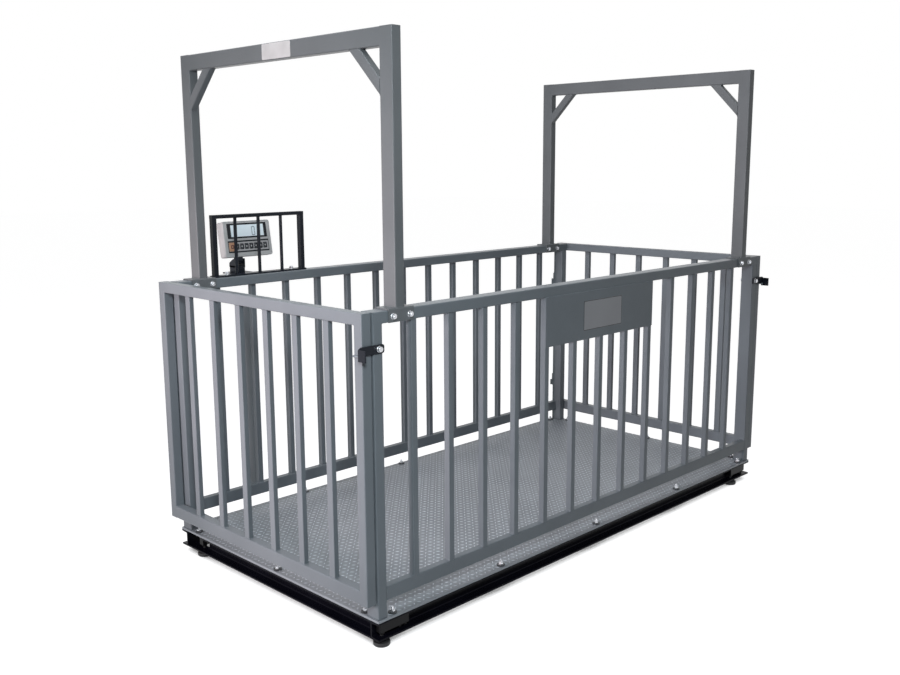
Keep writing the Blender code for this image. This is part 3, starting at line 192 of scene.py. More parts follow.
def noise(tree, scale, detail=3.0, stretch=(1, 1, 1)):
    """Return the factor of a noise on the piece's own coordinates."""
    place = add(tree, "ShaderNodeTexCoord", {}, "Object")
    place = add(tree, "ShaderNodeMapping", {"Vector": place, "Scale": stretch})
    return add(tree, "ShaderNodeTexNoise", {"Vector": place, "Scale": scale, "Detail": detail}, "Fac")


SLOTS = {}


def coat(name, slot, dark, light, cloud, grain, rough, relief, metallic=0.0, specular=0.5, edge=0.3):
    """Return a finish for a slot: a cloud of two tones, and a grain that raises it.

    The cloud and the grain are a noise's settings. The roughness is one value, or the two that
    it runs between with the grain.
    """
    material = bpy.data.materials.new(name)
    tree = emptied(material)
    SLOTS[material.name] = slot
    tone = tree.nodes.new("ShaderNodeValToRGB")
    for element, place, colour in zip(tone.color_ramp.elements, (edge, 1 - edge), (dark, light)):
        element.position = place
        element.color = (*colour, 1)
    tree.links.new(noise(tree, *cloud), tone.inputs[0])
    values = {"Base Color": tone.outputs[0], "Metallic": metallic, "Specular IOR Level": specular}
    values["Roughness"] = rough
    if grain:
        fine = noise(tree, *grain)
        values["Normal"] = add(tree, "ShaderNodeBump", {"Distance": relief, "Height": fine})
        if isinstance(rough, tuple):
            ends = {"Value": fine, "From Min": 0.3, "From Max": 0.7, "To Min": rough[0], "To Max": rough[1]}
            values["Roughness"] = add(tree, "ShaderNodeMapRange", ends)
    return finished(material, add(tree, "ShaderNodeBsdfPrincipled", values))


def paint(name, slot, dark, light, rough, peel, specular=0.5):
    """Sprayed paint: a faint cloud of two tones and the small waves of orange peel."""
    ends = (rough - 0.05, rough + 0.07)
    return coat(name, slot, dark, light, (4.5, 5), (260, 2), ends, peel, 0.0, specular)


tones = (0.003, 0.003, 0.006), (0.006, 0.006, 0.011)
black_gloss = paint("base_black_paint", "base_paint", *tones, 0.24, 0.0002, 0.06)


def at(axis, first, second, along):
    """Return a point from its place along an axis and its two other coordinates in order."""
    point = [first, second]
    point.insert("XYZ".index(axis), along)
    return point


def loft(bm, axis, sections, closed=False):
    """Join sections of equal point count into a capped solid, or into a loop like a wall."""
    rings = [[bm.verts.new(at(axis, a, b, along)) for a, b in outline] for along, outline in sections]
    for lower, upper in zip(rings, rings[1:] + rings[:1] if closed else rings[1:]):
        for i in range(len(lower)):
            j = (i + 1) % len(lower)
            bm.faces.new((lower[i], lower[j], upper[j], upper[i]))
    if not closed:
        bm.faces.new(rings[0])
        bm.faces.new(rings[-1])


def rounded(a0, b0, a1, b1, radius, steps=4):
    """Return a rectangle's outline with rounded corners."""
    points = []
    a0, b0, a1, b1 = a0 + radius, b0 + radius, a1 - radius, b1 - radius
    for a, b, first in ((a1, b0, -90), (a1, b1, 0), (a0, b1, 90), (a0, b0, 180)):
        for i in range(steps + 1):
            angle = math.radians(first + 90 * i / steps)
            points.append((a + radius * math.cos(angle), b + radius * math.sin(angle)))
    return points


def softened(points, radii, steps=4):
    """Round the corners of an outline, each by its own radius."""
    result = []
    for i, radius in enumerate(radii):
        corner = Vector(points[i])
        if not radius:
            result.append(tuple(corner))
            continue
        before = (Vector(points[i - 1]) - corner).normalized()
        after = (Vector(points[i + 1 - len(points)]) - corner).normalized()
        half = before.angle(after) / 2
        reach = radius / math.tan(half)
        start, end = corner + before * reach, corner + after * reach
        middle = corner + (before + after).normalized() * (radius / math.sin(half))
        first, last = start - middle, end - middle
        for step in range(steps + 1):
            share = step / steps
            arm = (first * (1 - share) + last * share).normalized() * radius
            result.append(tuple(middle + arm))
    return result


def made(name, bm, material, *nodes, body="platform", slot=None, sharp=40):
    """Turn geometry into a piece that rides on a body and stands for CAD nodes."""
    bmesh.ops.recalc_face_normals(bm, faces=bm.faces)
    mesh = bpy.data.meshes.new(name)
    bm.to_mesh(mesh)
    bm.free()
    mesh.materials.append(material)
    mesh.shade_smooth()
    mesh.set_sharp_from_angle(angle=math.radians(sharp))
    piece = placed(name, mesh)
    flat = piece.modifiers.new("flat_faces", "WEIGHTED_NORMAL")
    flat.keep_sharp = True
    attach(piece, body)
    if nodes:
        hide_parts(*nodes)
    slot = slot or SLOTS[material.name]


def channel(bm, axis, tip, back, start, end):
    """Add a rolled channel whose flanges point from its back to its tip."""
    out = 1 if tip > back else -1
    web = back + out * BEAM_WEB
    low, high = BEAM_LOW + BEAM_FLANGE_THICK, BEAM_HIGH - BEAM_FLANGE_THICK
    points = [(back, BEAM_LOW), (tip, BEAM_LOW), (tip, low - 0.001), (web, low + 0.001)]
    points += [(web, high - 0.001), (tip, high + 0.001), (tip, BEAM_HIGH), (back, BEAM_HIGH)]
    radii = (0.001, 0.0008, BEAM_TOE, BEAM_ROOT, BEAM_ROOT, BEAM_TOE, 0.0008, 0.001)
    outline = softened(points, radii)
    loft(bm, axis, [(start, outline), (end, outline)])


SIDES = (("near", -1), ("far", 1))
ENDS = (("front", -1), ("rear", 1))
HALF_LENGTH = 1.25
HALF_WIDTH = 0.625
END_BEAM_STOP = 0.475
FIT = 0.0003
web_back = HALF_WIDTH - BEAM_FLANGE
for name, side in SIDES:
    bm = bmesh.new()
    tip, back = side * HALF_WIDTH + PLATFORM_SIDE, side * web_back + PLATFORM_SIDE
    channel(bm, "X", tip, back, -HALF_LENGTH, HALF_LENGTH)
    node = "base_" + name + "_beam"
    made(node + "_painted", bm, black_gloss, node)
for name, side in ENDS:
    bm = bmesh.new()
    tip = side * HALF_LENGTH
    back = tip - side * BEAM_FLANGE
    start = FIT - web_back + PLATFORM_SIDE
    stop = END_BEAM_STOP + PLATFORM_SIDE
    channel(bm, "Y", tip, back, start, stop)
    web = back + side * BEAM_WEB
    low = BEAM_LOW + BEAM_FLANGE_THICK
    points = [(back, BEAM_LOW), (tip, BEAM_LOW), (tip, low - 0.001), (web, low + 0.001)]
    points += [(web, low + BEAM_ROOT), (back, low + BEAM_ROOT)]
    outline = softened(points, (0.001, 0.0008, BEAM_TOE, 0.0020, 0.0004, 0.0004))
    loft(bm, "Y", [(stop - 0.002, outline), (web_back - FIT + PLATFORM_SIDE, outline)])
    node = "base_" + name + "_beam"
    made(node + "_painted", bm, black_gloss, node)
for number in (1, 2, 3):
    node = "base_cross_member_%d" % number
    low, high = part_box(node)
    bm = bmesh.new()
    channel(bm, "Y", high.x, low.x, low.y, high.y)
    made(node + "_painted", bm, black_gloss, node)

# Welds: a bead of small ripples along each joint. They are laid as copies along lines, and
# take the paint of the piece that they join.

BEAD_RADIUS = 0.0026


def copies_tree():
    """Geometry nodes that put a turned copy of a shape at each point of a mesh."""
    tree = bpy.data.node_groups.new("copies", "GeometryNodeTree")
    inputs = (("Geometry", "Geometry"), ("Shape", "Object"), ("Size", "Float"), ("Finish", "Material"))
    for label, kind in inputs:
        tree.interface.new_socket(label, in_out="INPUT", socket_type="NodeSocket" + kind)
    tree.interface.new_socket("Geometry", in_out="OUTPUT", socket_type="NodeSocketGeometry")
    entry = tree.nodes.new("NodeGroupInput").outputs
    values = {"Points": entry["Geometry"], "Scale": entry["Size"]}
    values["Instance"] = add(tree, "GeometryNodeObjectInfo", {"Object": entry["Shape"]}, "Geometry")
    turn = {"Name": "turn"}
    kind = "GeometryNodeInputNamedAttribute"
    values["Rotation"] = add(tree, kind, turn, "Attribute", data_type="FLOAT_VECTOR")
    real = {"Geometry": add(tree, "GeometryNodeInstanceOnPoints", values)}
    real = add(tree, "GeometryNodeRealizeInstances", real)
    finish = add(tree, "GeometryNodeSetMaterial", {"Geometry": real, "Material": entry["Finish"]})
    tree.links.new(finish, tree.nodes.new("NodeGroupOutput").inputs["Geometry"])
    return tree


def copied(shape, places, material, turns=None):
    """Return geometry with a copy of a shape at each place, made by geometry nodes."""
    bmesh.ops.recalc_face_normals(shape, faces=shape.faces)
    shape_mesh = bpy.data.meshes.new("shape")
    shape.to_mesh(shape_mesh)
    shape.free()
    shape_object = placed("shape", shape_mesh)
    host_mesh = bpy.data.meshes.new("places")
    host_mesh.from_pydata([tuple(place) for place in places], [], [])
    turn = host_mesh.attributes.new("turn", "FLOAT_VECTOR", "POINT")
    for i, value in enumerate(turns or [(0, 0, 0)] * len(places)):
        turn.data[i].vector = value
    host = placed("places", host_mesh)
    nodes = host.modifiers.new("copies", "NODES")
    nodes.node_group = tree = copies_tree()
    values = {"Shape": shape_object, "Size": 1.0, "Finish": material}
    for item in tree.interface.items_tree:
        if item.in_out == "INPUT" and item.name in values:
            nodes[item.identifier] = values[item.name]
    graph = bpy.context.evaluated_depsgraph_get()
    result = bpy.data.meshes.new_from_object(host.evaluated_get(graph))
    bm = bmesh.new()
    bm.from_mesh(result)
    bpy.data.batch_remove([host, shape_object, result, host_mesh, shape_mesh, tree])
    return bm


def along(lines, step):
    """Return evenly spaced points along straight lines, ends included."""
    points = []
    for start, end in lines:
        start, end = Vector(start), Vector(end)
        count = max(1, round((end - start).length / step))
        points.extend(start.lerp(end, i / count) for i in range(count + 1))
    return points


def weld_bead(name, lines, material, body="platform", size=BEAD_RADIUS):
    """Add weld beads along straight lines."""
    drop = bmesh.new()
    bmesh.ops.create_icosphere(drop, subdivisions=1, radius=size)
    bm = copied(drop, along(lines, size * 1.15), material)
    made(name, bm, material, body=body, sharp=70)


lines = []
for end in (-1, 1):
    x = end * HALF_LENGTH
    y = 0.001 - web_back + PLATFORM_SIDE
    lines.append(((x - end * 0.003, y, BEAM_LOW + 0.001), (x - end * BEAM_FLANGE, y, BEAM_LOW + 0.001)))
weld_bead("base_welds", lines, black_gloss)

# Load cells: a steel bar near each corner with a sealed pocket in its side, held by two screws
# through a spacer, and the lock nut of its foot. Its dark grey steel is coloured near black as
# painted shade, for the deep shade under the frame.

# Painted shade: the cells' colour is set near black, darker than their own steel.
tones = (0.003, 0.003, 0.004), (0.008, 0.008, 0.009)
drawn = (60, 4, (1, 14, 14))
cell_painted_shade = coat("cell_steel_painted_shade", "cell_steel", *tones, drawn, drawn, (0.28, 0.42), 0.00008, 0.0, 0.12)


def circle(a, b, radius, sides=24):
    """Return a round outline about a centre."""
    step = 2 * math.pi / sides
    return [(a + radius * math.cos(step * i), b + radius * math.sin(step * i)) for i in range(sides)]


def turned(bm, axis, profile, a, b, sides=24):
    """Add a round solid from its places along an axis and its radius at each."""
    loft(bm, axis, [(along, circle(a, b, radius, sides)) for along, radius in profile])


def hexagon(a, b, apothem, sides=24):
    """Return a hexagon's outline with as many points as a circle."""
    points = []
    for i in range(sides):
        angle = 2 * math.pi * i / sides
        radius = apothem / math.cos((angle % (math.pi / 3)) - math.pi / 6)
        points.append((a + radius * math.cos(angle), b + radius * math.sin(angle)))
    return points


def bar(bm, axis, low, high, radius=0.004, edge=0.0008, steps=4):
    """Add a bar of tube between two corners, with rounded corners and eased ends."""
    spans = [sorted(pair) for pair in zip(low, high)]
    start, end = spans.pop("XYZ".index(axis))
    (a0, a1), (b0, b1) = spans
    full = rounded(a0, b0, a1, b1, radius, steps)
    small = rounded(a0 + edge, b0 + edge, a1 - edge, b1 - edge, radius - edge, steps)
    loft(bm, axis, [(start, small), (start + edge, full), (end - edge, full), (end, small)])


def chamfered_nut(bm, axis, start, end, a, b, apothem):
    """Add a hexagonal nut or head with its corners turned off at both ends."""
    corner = apothem * (0.16 if end > start else -0.16)
    sides = hexagon(a, b, apothem)
    sections = [(start, circle(a, b, apothem * 0.94)), (start + corner * 0.4, sides)]
    sections += [(end - corner * 0.8, sides), (end - corner * 0.3, circle(a, b, apothem * 0.98))]
    loft(bm, axis, sections + [(end, circle(a, b, apothem * 0.88))])


def thread(bm, axis, start, end, a, b, radius, pitch):
    """Add a threaded rod, its thread drawn as rings."""
    turns = max(1, round(abs(end - start) / pitch))
    profile = [(start, radius * 0.9)]
    for i in range(turns):
        profile.append((start + (end - start) * (i + 0.5) / turns, radius))
        profile.append((start + (end - start) * (i + 1) / turns, radius * 0.88))
    turned(bm, axis, profile, a, b, 16)


CELL_LOW = 0.046
CELL_HIGH = 0.078
FOOT_BACK = 0.015
CORNERS = ("front_near", "front_far", "rear_near", "rear_far")
for corner in CORNERS:
    node = "load_cell_" + corner
    low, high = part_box(node)
    middle = (low.y + high.y) / 2
    bm = bmesh.new()
    bar(bm, "X", (low.x, low.y, CELL_LOW), (high.x, high.y, CELL_HIGH), 0.0012, 0.0010, 2)
    block = ((high.x - 0.050, middle - 0.008, CELL_HIGH), (high.x, middle + 0.008, high.z))
    bar(bm, "Z", *block, 0.0010, 0.0004, 2)
    for x in (high.x - 0.0375, high.x - 0.0125):
        chamfered_nut(bm, "Z", CELL_LOW, CELL_LOW - 0.009, x, middle, 0.0085)
    chamfered_nut(bm, "Z", CELL_LOW, CELL_LOW - 0.008, low.x + FOOT_BACK, middle, 0.0095)
    pocket = (low.x + high.x) / 2 - 0.008
    for face, out in ((low.y, 1), (high.y, -1)):
        seal = ((face + out * 0.0001, 0.0105), (face + out * 0.0015, 0.0100))
        turned(bm, "Y", seal, pocket, 0.062)
    made(node + "_machined", bm, cell_painted_shade, node)

# Feet: a rubber pad moulded round a steel cup, on a threaded steel stem. The stem screws in
# the load cell and sets the foot's height.

tones = (0.010, 0.010, 0.011), (0.022, 0.022, 0.023)
rubber = coat("foot_rubber", "foot_rubber", *tones, (420, 3), (420, 3), 0.62, 0.0002, edge=0.35)
PAD_HEIGHTS = (0, 0.0008, 0.0025, 0.006, 0.012, 0.0142, 0.0152, 0.0154, 0.016, 0.0158, 0.0158)
PAD_RADII = (0.0235, 0.0262, 0.0283, 0.0295, 0.0295, 0.0288, 0.0272, 0.02, 0.018, 0.01, 0.0062)
STEM_HIGH = 0.074
for corner in CORNERS:
    node = "foot_" + corner
    low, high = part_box(node)
    bm = bmesh.new()
    profile = list(zip(PAD_HEIGHTS, PAD_RADII))
    for i in range(19):
        profile.append((0.016 + (STEM_HIGH - 0.016) * i / 18, 0.0060 if i % 2 else 0.0054))
    turned(bm, "Z", profile, (low.x + high.x) / 2, (low.y + high.y) / 2, 48)
    made(node + "_moulded", bm, rubber, node, body=node)

# Junction box: a moulded box under the deck where the load cells' leads are joined, with a
# screwed lid and the glands on its ends.

tones = (0.026, 0.030, 0.035), (0.038, 0.042, 0.049)
dark_plastic = coat("junction_plastic", "junction_plastic", *tones, (700, 2), (700, 2), 0.5, 0.0001)
low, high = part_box("junction_box")
bm = bmesh.new()
inset = 0.012
bar(bm, "Z", (low.x + inset, low.y, low.z + 0.010), (high.x - inset, high.y, high.z), 0.006, 0.001)
bar(bm, "Z", (low.x + inset, low.y, low.z + 0.002), (high.x - inset, high.y, low.z + 0.009), 0.006, 0.002)
for x in (low.x + inset + 0.010, high.x - inset - 0.010):
    for y in (low.y + 0.010, high.y - 0.010):
        turned(bm, "Z", ((low.z, 0.003), (low.z + 0.003, 0.0036)), x, y)
for y in (low.y + 0.030, high.y - 0.030):
    z = high.z - 0.016
    chamfered_nut(bm, "X", low.x + inset, low.x, y, z, 0.0085)
    chamfered_nut(bm, "X", high.x - inset, high.x, y, z, 0.0085)
made("junction_box_moulded", bm, dark_plastic, "junction_box")

# Deck: one sheet of tread plate, sprayed grey. Its lentils stand at 45 degrees to its edges,
# turn about, in a close checkerboard, and their tops are given a painted highlight, paler with height.

DECK_LOW = 0.090
DECK_HIGH = 0.100
LENTIL_RISE = 0.0015
LENTIL_LENGTH = 0.021
LENTIL_WIDTH = 0.0080
LENTIL_PITCH = 0.0226

tones = (0.250, 0.270, 0.298), (0.316, 0.337, 0.370)
tread_paint = coat("tread_paint", "deck_paint", *tones, (3.0, 6), (240, 3), (0.34, 0.52), 0.00025, 0.1)
tree = tread_paint.node_tree
colour = tree.nodes["Principled BSDF"].inputs["Base Color"]
# Painted highlight on the lentils' tops: the colour is mixed towards a pale blue grey by height.
place = add(tree, "ShaderNodeTexCoord", {}, "Object")
height = {"Value": add(tree, "ShaderNodeSeparateXYZ", {0: place}, "Z"), "To Max": 0.9}
height["From Min"] = DECK_HIGH - LENTIL_RISE * 0.75
height["From Max"] = DECK_HIGH - LENTIL_RISE * 0.1
painted_top_highlight = {"Factor": add(tree, "ShaderNodeMapRange", height), "A": colour.links[0].from_socket}
painted_top_highlight["B"] = (0.64, 0.69, 0.75, 1)
tree.links.new(add(tree, "ShaderNodeMix", painted_top_highlight, "Result", data_type="RGBA"), colour)

sections = []
for lift, share in ((-0.0004, 1.06), (LENTIL_RISE * 0.62, 0.72), (LENTIL_RISE, 0.30)):
    outline = []
    for i in range(8):
        reach, width = math.cos(math.pi * i / 4), math.sin(math.pi * i / 4)
        width *= 1 - 0.25 * abs(reach)
        outline.append((reach * LENTIL_LENGTH / 2 * share, width * LENTIL_WIDTH / 2 * share))
    sections.append((lift, outline))
lentil = bmesh.new()
loft(lentil, "Z", sections)

sheet_top = DECK_HIGH - LENTIL_RISE
places, turns = [], []
columns = int(2 * (HALF_LENGTH - 0.010) / LENTIL_PITCH)
rows = int(2 * (HALF_WIDTH - 0.010) / LENTIL_PITCH)
for i in range(columns + 1):
    for j in range(rows + 1):
        x = (i - columns / 2) * LENTIL_PITCH
        y = (j - rows / 2) * LENTIL_PITCH
        places.append((x, y + PLATFORM_SIDE, sheet_top))
        turns.append((0, 0, math.radians(45 if (i + j) % 2 else 135)))
bm = copied(lentil, places, tread_paint, turns)
low = (-HALF_LENGTH, -HALF_WIDTH + PLATFORM_SIDE, DECK_LOW)
high = (HALF_LENGTH, HALF_WIDTH + PLATFORM_SIDE, sheet_top)
bar(bm, "Z", low, high, 0.0015, 0.0007, 2)
made("deck_tread_plate", bm, tread_paint, "deck_plate", sharp=50)

# Deck bolts: bright zinc plated nuts over dark washers, on studs that are welded in the frame
# and stand up through the deck.

tones = (0.50, 0.52, 0.56), (0.74, 0.75, 0.77)
zinc = coat("zinc_plate", "zinc", *tones, (160, 4), (160, 4), (0.20, 0.36), 0.0001, 1.0)
dark_washer = paint("washer_paint", "zinc", (0.035, 0.038, 0.042), (0.055, 0.060, 0.066), 0.45, 0.0002)

LONG_SIDE_BOLTS = (-1.170, -0.620, -0.020, 0.600, 1.170)
SHORT_SIDE_BOLTS = (-0.535, -0.030, 0.520)
BOLT_INSET = 0.020
WASHER_RADIUS = 0.016
WASHER_HIGH = 0.0033
NUT_HIGH = 0.0113
STUD_HIGH = 0.0203
places = []
for side in (-1, 1):
    y = side * (HALF_WIDTH - BOLT_INSET) + PLATFORM_SIDE
    places += [(x, y, DECK_HIGH) for x in LONG_SIDE_BOLTS]
    x = side * (HALF_LENGTH - BOLT_INSET)
    places += [(x, y + PLATFORM_SIDE, DECK_HIGH) for y in SHORT_SIDE_BOLTS]
washer = bmesh.new()
rim = [(-0.0010, WASHER_RADIUS - 0.0005), (WASHER_HIGH - 0.0008, WASHER_RADIUS)]
turned(washer, "Z", rim + [(WASHER_HIGH, WASHER_RADIUS - 0.0008)], 0, 0)
made("deck_bolt_washers", copied(washer, places, dark_washer), dark_washer)
nut = bmesh.new()
chamfered_nut(nut, "Z", WASHER_HIGH, NUT_HIGH, 0, 0, 0.0085)
thread(nut, "Z", NUT_HIGH - 0.001, STUD_HIGH, 0, 0, 0.005, 0.0015)
turns = [(0, 0, 0.7 * i) for i in range(len(places))]
bm = copied(nut, places, zinc, turns)
made("deck_bolt_nuts", bm, zinc, "deck_corner_bolt_front", "deck_corner_bolt_rear")

# Side panels: rectangular tube posts and rails with square bars between them, all welded and
# sprayed in a silvery grey.

tones = (0.178, 0.198, 0.219), (0.205, 0.227, 0.249)
cage_paint = paint("cage_paint", "cage_paint", *tones, 0.32, 0.0003, 0.18)
CORNER = 0.0045
BAR_CORNER = 0.0030
PANEL_OUTER = 0.620
PANEL_NEAR = PLATFORM_SIDE - PANEL_OUTER
PANEL_FAR = PLATFORM_SIDE + PANEL_OUTER
TUBE_DEEP = 0.060
RAIL_DEEP = 0.030
POST_LEFT, POST_RIGHT = 1.205, 1.245
POST_FOOT = 0.1005
BAR_SIZE = 0.025
BAR_COUNT = 13
BAR_ROWS = {"near": (-1.081, 0.1731), "far": (-1.0536, 0.1750)}
JOINT_OVERLAP = 0.0050
JOINT_SINK = 0.00005
RAIL_LOW = 0.158
RAIL_HIGH = 0.208
TOP_RAIL_LOW = 1.095
TOP_RAIL_HIGH = 1.135
for side_name, side in SIDES:
    outer = side * PANEL_OUTER + PLATFORM_SIDE
    low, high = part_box(side_name + "_top_rail")
    bm = bmesh.new()
    bar(bm, "X", low, high, CORNER)
    made(side_name + "_top_rail_tube", bm, cage_paint, side_name + "_top_rail")
    for end_name, end in ENDS:
        node = side_name + "_" + end_name + "_post"
        bm = bmesh.new()
        inner = outer - side * (TUBE_DEEP - JOINT_SINK)
        low = (end * (POST_LEFT + JOINT_SINK), outer - side * JOINT_SINK, DECK_HIGH + FIT)
        high = (end * (POST_RIGHT - JOINT_SINK), inner, TOP_RAIL_LOW + JOINT_OVERLAP)
        bar(bm, "Z", low, high, CORNER)
        made(node + "_tube", bm, cage_paint, node)
    upright_bar = bmesh.new()
    inner = outer - side * BAR_SIZE
    bar(upright_bar, "Z", (0, outer, RAIL_HIGH - 0.001), (BAR_SIZE, inner, TOP_RAIL_LOW - FIT), BAR_CORNER)
    first, pitch = BAR_ROWS[side_name]
    places = [(first + i * pitch, 0, 0) for i in range(BAR_COUNT)]
    bm = copied(upright_bar, places, cage_paint)
    low = (FIT - POST_LEFT, outer, RAIL_LOW)
    bar(bm, "X", low, (POST_LEFT - FIT, outer - side * RAIL_DEEP, RAIL_HIGH), BAR_CORNER)
    made(side_name + "_panel_bars", bm, cage_paint, side_name + "_bars")

    lines = []
    rim, back = outer - side * 0.004, outer - side * (TUBE_DEEP - 0.004)
    for x, _, _ in places:
        for z in (RAIL_HIGH, TOP_RAIL_LOW):
            for edge in (x, x + BAR_SIZE):
                lines.append(((edge, rim, z), (edge, inner + side * 0.002, z)))
            lines.append(((x + 0.002, inner, z), (x + BAR_SIZE - 0.002, inner, z)))
    for end in (-1, 1):
        x, y = end * POST_LEFT, outer - side * RAIL_DEEP
        for z in (RAIL_LOW, RAIL_HIGH):
            lines.append(((x, rim, z), (x, y + side * 0.002, z)))
        lines.append(((x, y, RAIL_LOW), (x, y, RAIL_HIGH)))
        for edge in (x, end * POST_RIGHT):
            lines.append(((edge, rim, POST_FOOT), (edge, back, POST_FOOT)))
        y = outer - side * TUBE_DEEP
        lines.append(((x + end * 0.004, y, POST_FOOT), (end * (POST_RIGHT - 0.004), y, POST_FOOT)))
        lines.append(((x, rim, TOP_RAIL_LOW), (x, back, TOP_RAIL_LOW)))
    weld_bead(side_name + "_panel_welds", lines, cage_paint)

# Lead cover: a slim steel tube, open at its ends, for the indicator's lead. It is welded
# outside the second bar of the far panel and sprayed with it.

COVER_LEFT = BAR_ROWS["far"][0] + BAR_ROWS["far"][1]
COVER_RIGHT = COVER_LEFT + 0.020
COVER_FAR = PANEL_FAR + 0.050
COVER_LOW = RAIL_LOW + 0.010
COVER_HIGH = COVER_LOW + 0.832
COVER_WALL = 0.0025
bm = bmesh.new()
skin = rounded(COVER_LEFT, PANEL_FAR, COVER_RIGHT, COVER_FAR, 0.003)
low = (COVER_LEFT + COVER_WALL, PANEL_FAR + COVER_WALL)
hole = rounded(*low, COVER_RIGHT - COVER_WALL, COVER_FAR - COVER_WALL, 0.001)
walls = ((COVER_LOW, skin), (COVER_HIGH, skin), (COVER_HIGH, hole), (COVER_LOW, hole))
loft(bm, "Z", walls, closed=True)
made("lead_cover_tube", bm, cage_paint)
lines = []
for z in (0.25, 0.45, 0.65, 0.85):
    for x in (COVER_LEFT + 0.001, COVER_RIGHT - 0.0005):
        lines.append(((x, PANEL_FAR, z), (x, PANEL_FAR, z + 0.030)))
weld_bead("lead_cover_welds", lines, cage_paint, size=0.0018)

# Sign sheet: flat steel sheet welded on the bars and under the rail, with a bare grey label
# plate; a bare white one is stuck on the front arch.

low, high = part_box("sign_panel")
bm = bmesh.new()
bar(bm, "Y", low, (high.x, high.y, TOP_RAIL_LOW + 0.0005), 0.0015, 0.0005, 2)
made("sign_sheet", bm, cage_paint, "sign_panel")
y, z = high.y + 0.0007, TOP_RAIL_LOW + 0.0011
weld_bead("sign_welds", [((low.x + 0.002, y, z), (high.x - 0.002, y, z))], cage_paint)

tones = (0.56, 0.54, 0.54), (0.66, 0.64, 0.64)
label_white = coat("label_white_plate", "label_white", *tones, (14, 4), (300, 2), 0.38, 0.0001)
tones = (0.25, 0.25, 0.27), (0.29, 0.29, 0.31)
label_grey = paint("label_grey_plate", "label_grey", *tones, 0.34, 0.0001)
tones = (0.035, 0.037, 0.045), (0.055, 0.057, 0.065)
label_edge = paint("label_dark_edge", "label_grey", *tones, 0.4, 0.0001)
low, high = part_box("sign_label")
bm = bmesh.new()
bar(bm, "Y", (low.x, low.y + 0.0002, low.z), high, 0.004, 0.0002)
made("sign_label_edge", bm, label_edge)
bm = bmesh.new()
start = (low.x + 0.003, low.y, low.z + 0.003)
bar(bm, "Y", start, (high.x - 0.003, high.y, high.z - 0.003), 0.002, 0.0001)
made("sign_label_plate", bm, label_grey, "sign_label")
low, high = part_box("arch_label")
bm = bmesh.new()
bar(bm, "X", low, high, 0.004, 0.0002)
made("arch_label_plate", bm, label_white, "arch_label")

# Arches: capped posts welded on folded saddles, a beam between their tops and a knee brace
# in each corner. Two bolts hold each saddle over the top rail.

# The arches' paint is a darker copy of the cage paint: painted shade, for the dimmer light on the arches.
tones = (0.150, 0.158, 0.166), (0.172, 0.181, 0.190)
arch_painted_shade = paint("arch_painted_shade", "cage_paint", *tones, 0.32, 0.0003, 0.16)
ARCH_BEAM_LOW = 1.955
ARCH_TOP = 2.015
SADDLE_TOP = 1.1403
SADDLE_SKIN = 0.0053
SADDLE_HALF = 0.055
SADDLE_FOLD = 0.005
BRACE_DROP = 0.149
BRACE_RUN = 0.038 * math.sqrt(2)
BRACE_DEPTH = 0.030
BRACE_CORNER = 0.004
SADDLE_BOLT_STEP = 0.0365


def brace(bm, side, face, left):
    """Add a knee brace between a post's face and the underside of the beam."""
    right = left + BRACE_DEPTH
    base = ARCH_BEAM_LOW - BRACE_DROP
    sections = []
    for x, ease in ((left, 1), (left, 0.3), (left, 0), (right, 0), (right, 0.3), (right, 1)):
        trim = BRACE_CORNER * ease * math.sqrt(2)
        inward = BRACE_CORNER * (1 - ease) * (1 - ease)
        outline = [(face, base + trim), (face, base + BRACE_RUN - trim)]
        outline.append((face - side * (BRACE_DROP - BRACE_RUN + trim), ARCH_BEAM_LOW))
        outline.append((face - side * (BRACE_DROP - trim), ARCH_BEAM_LOW))
        sections.append((x + inward if x == left else x - inward, outline))
    loft(bm, "X", sections)


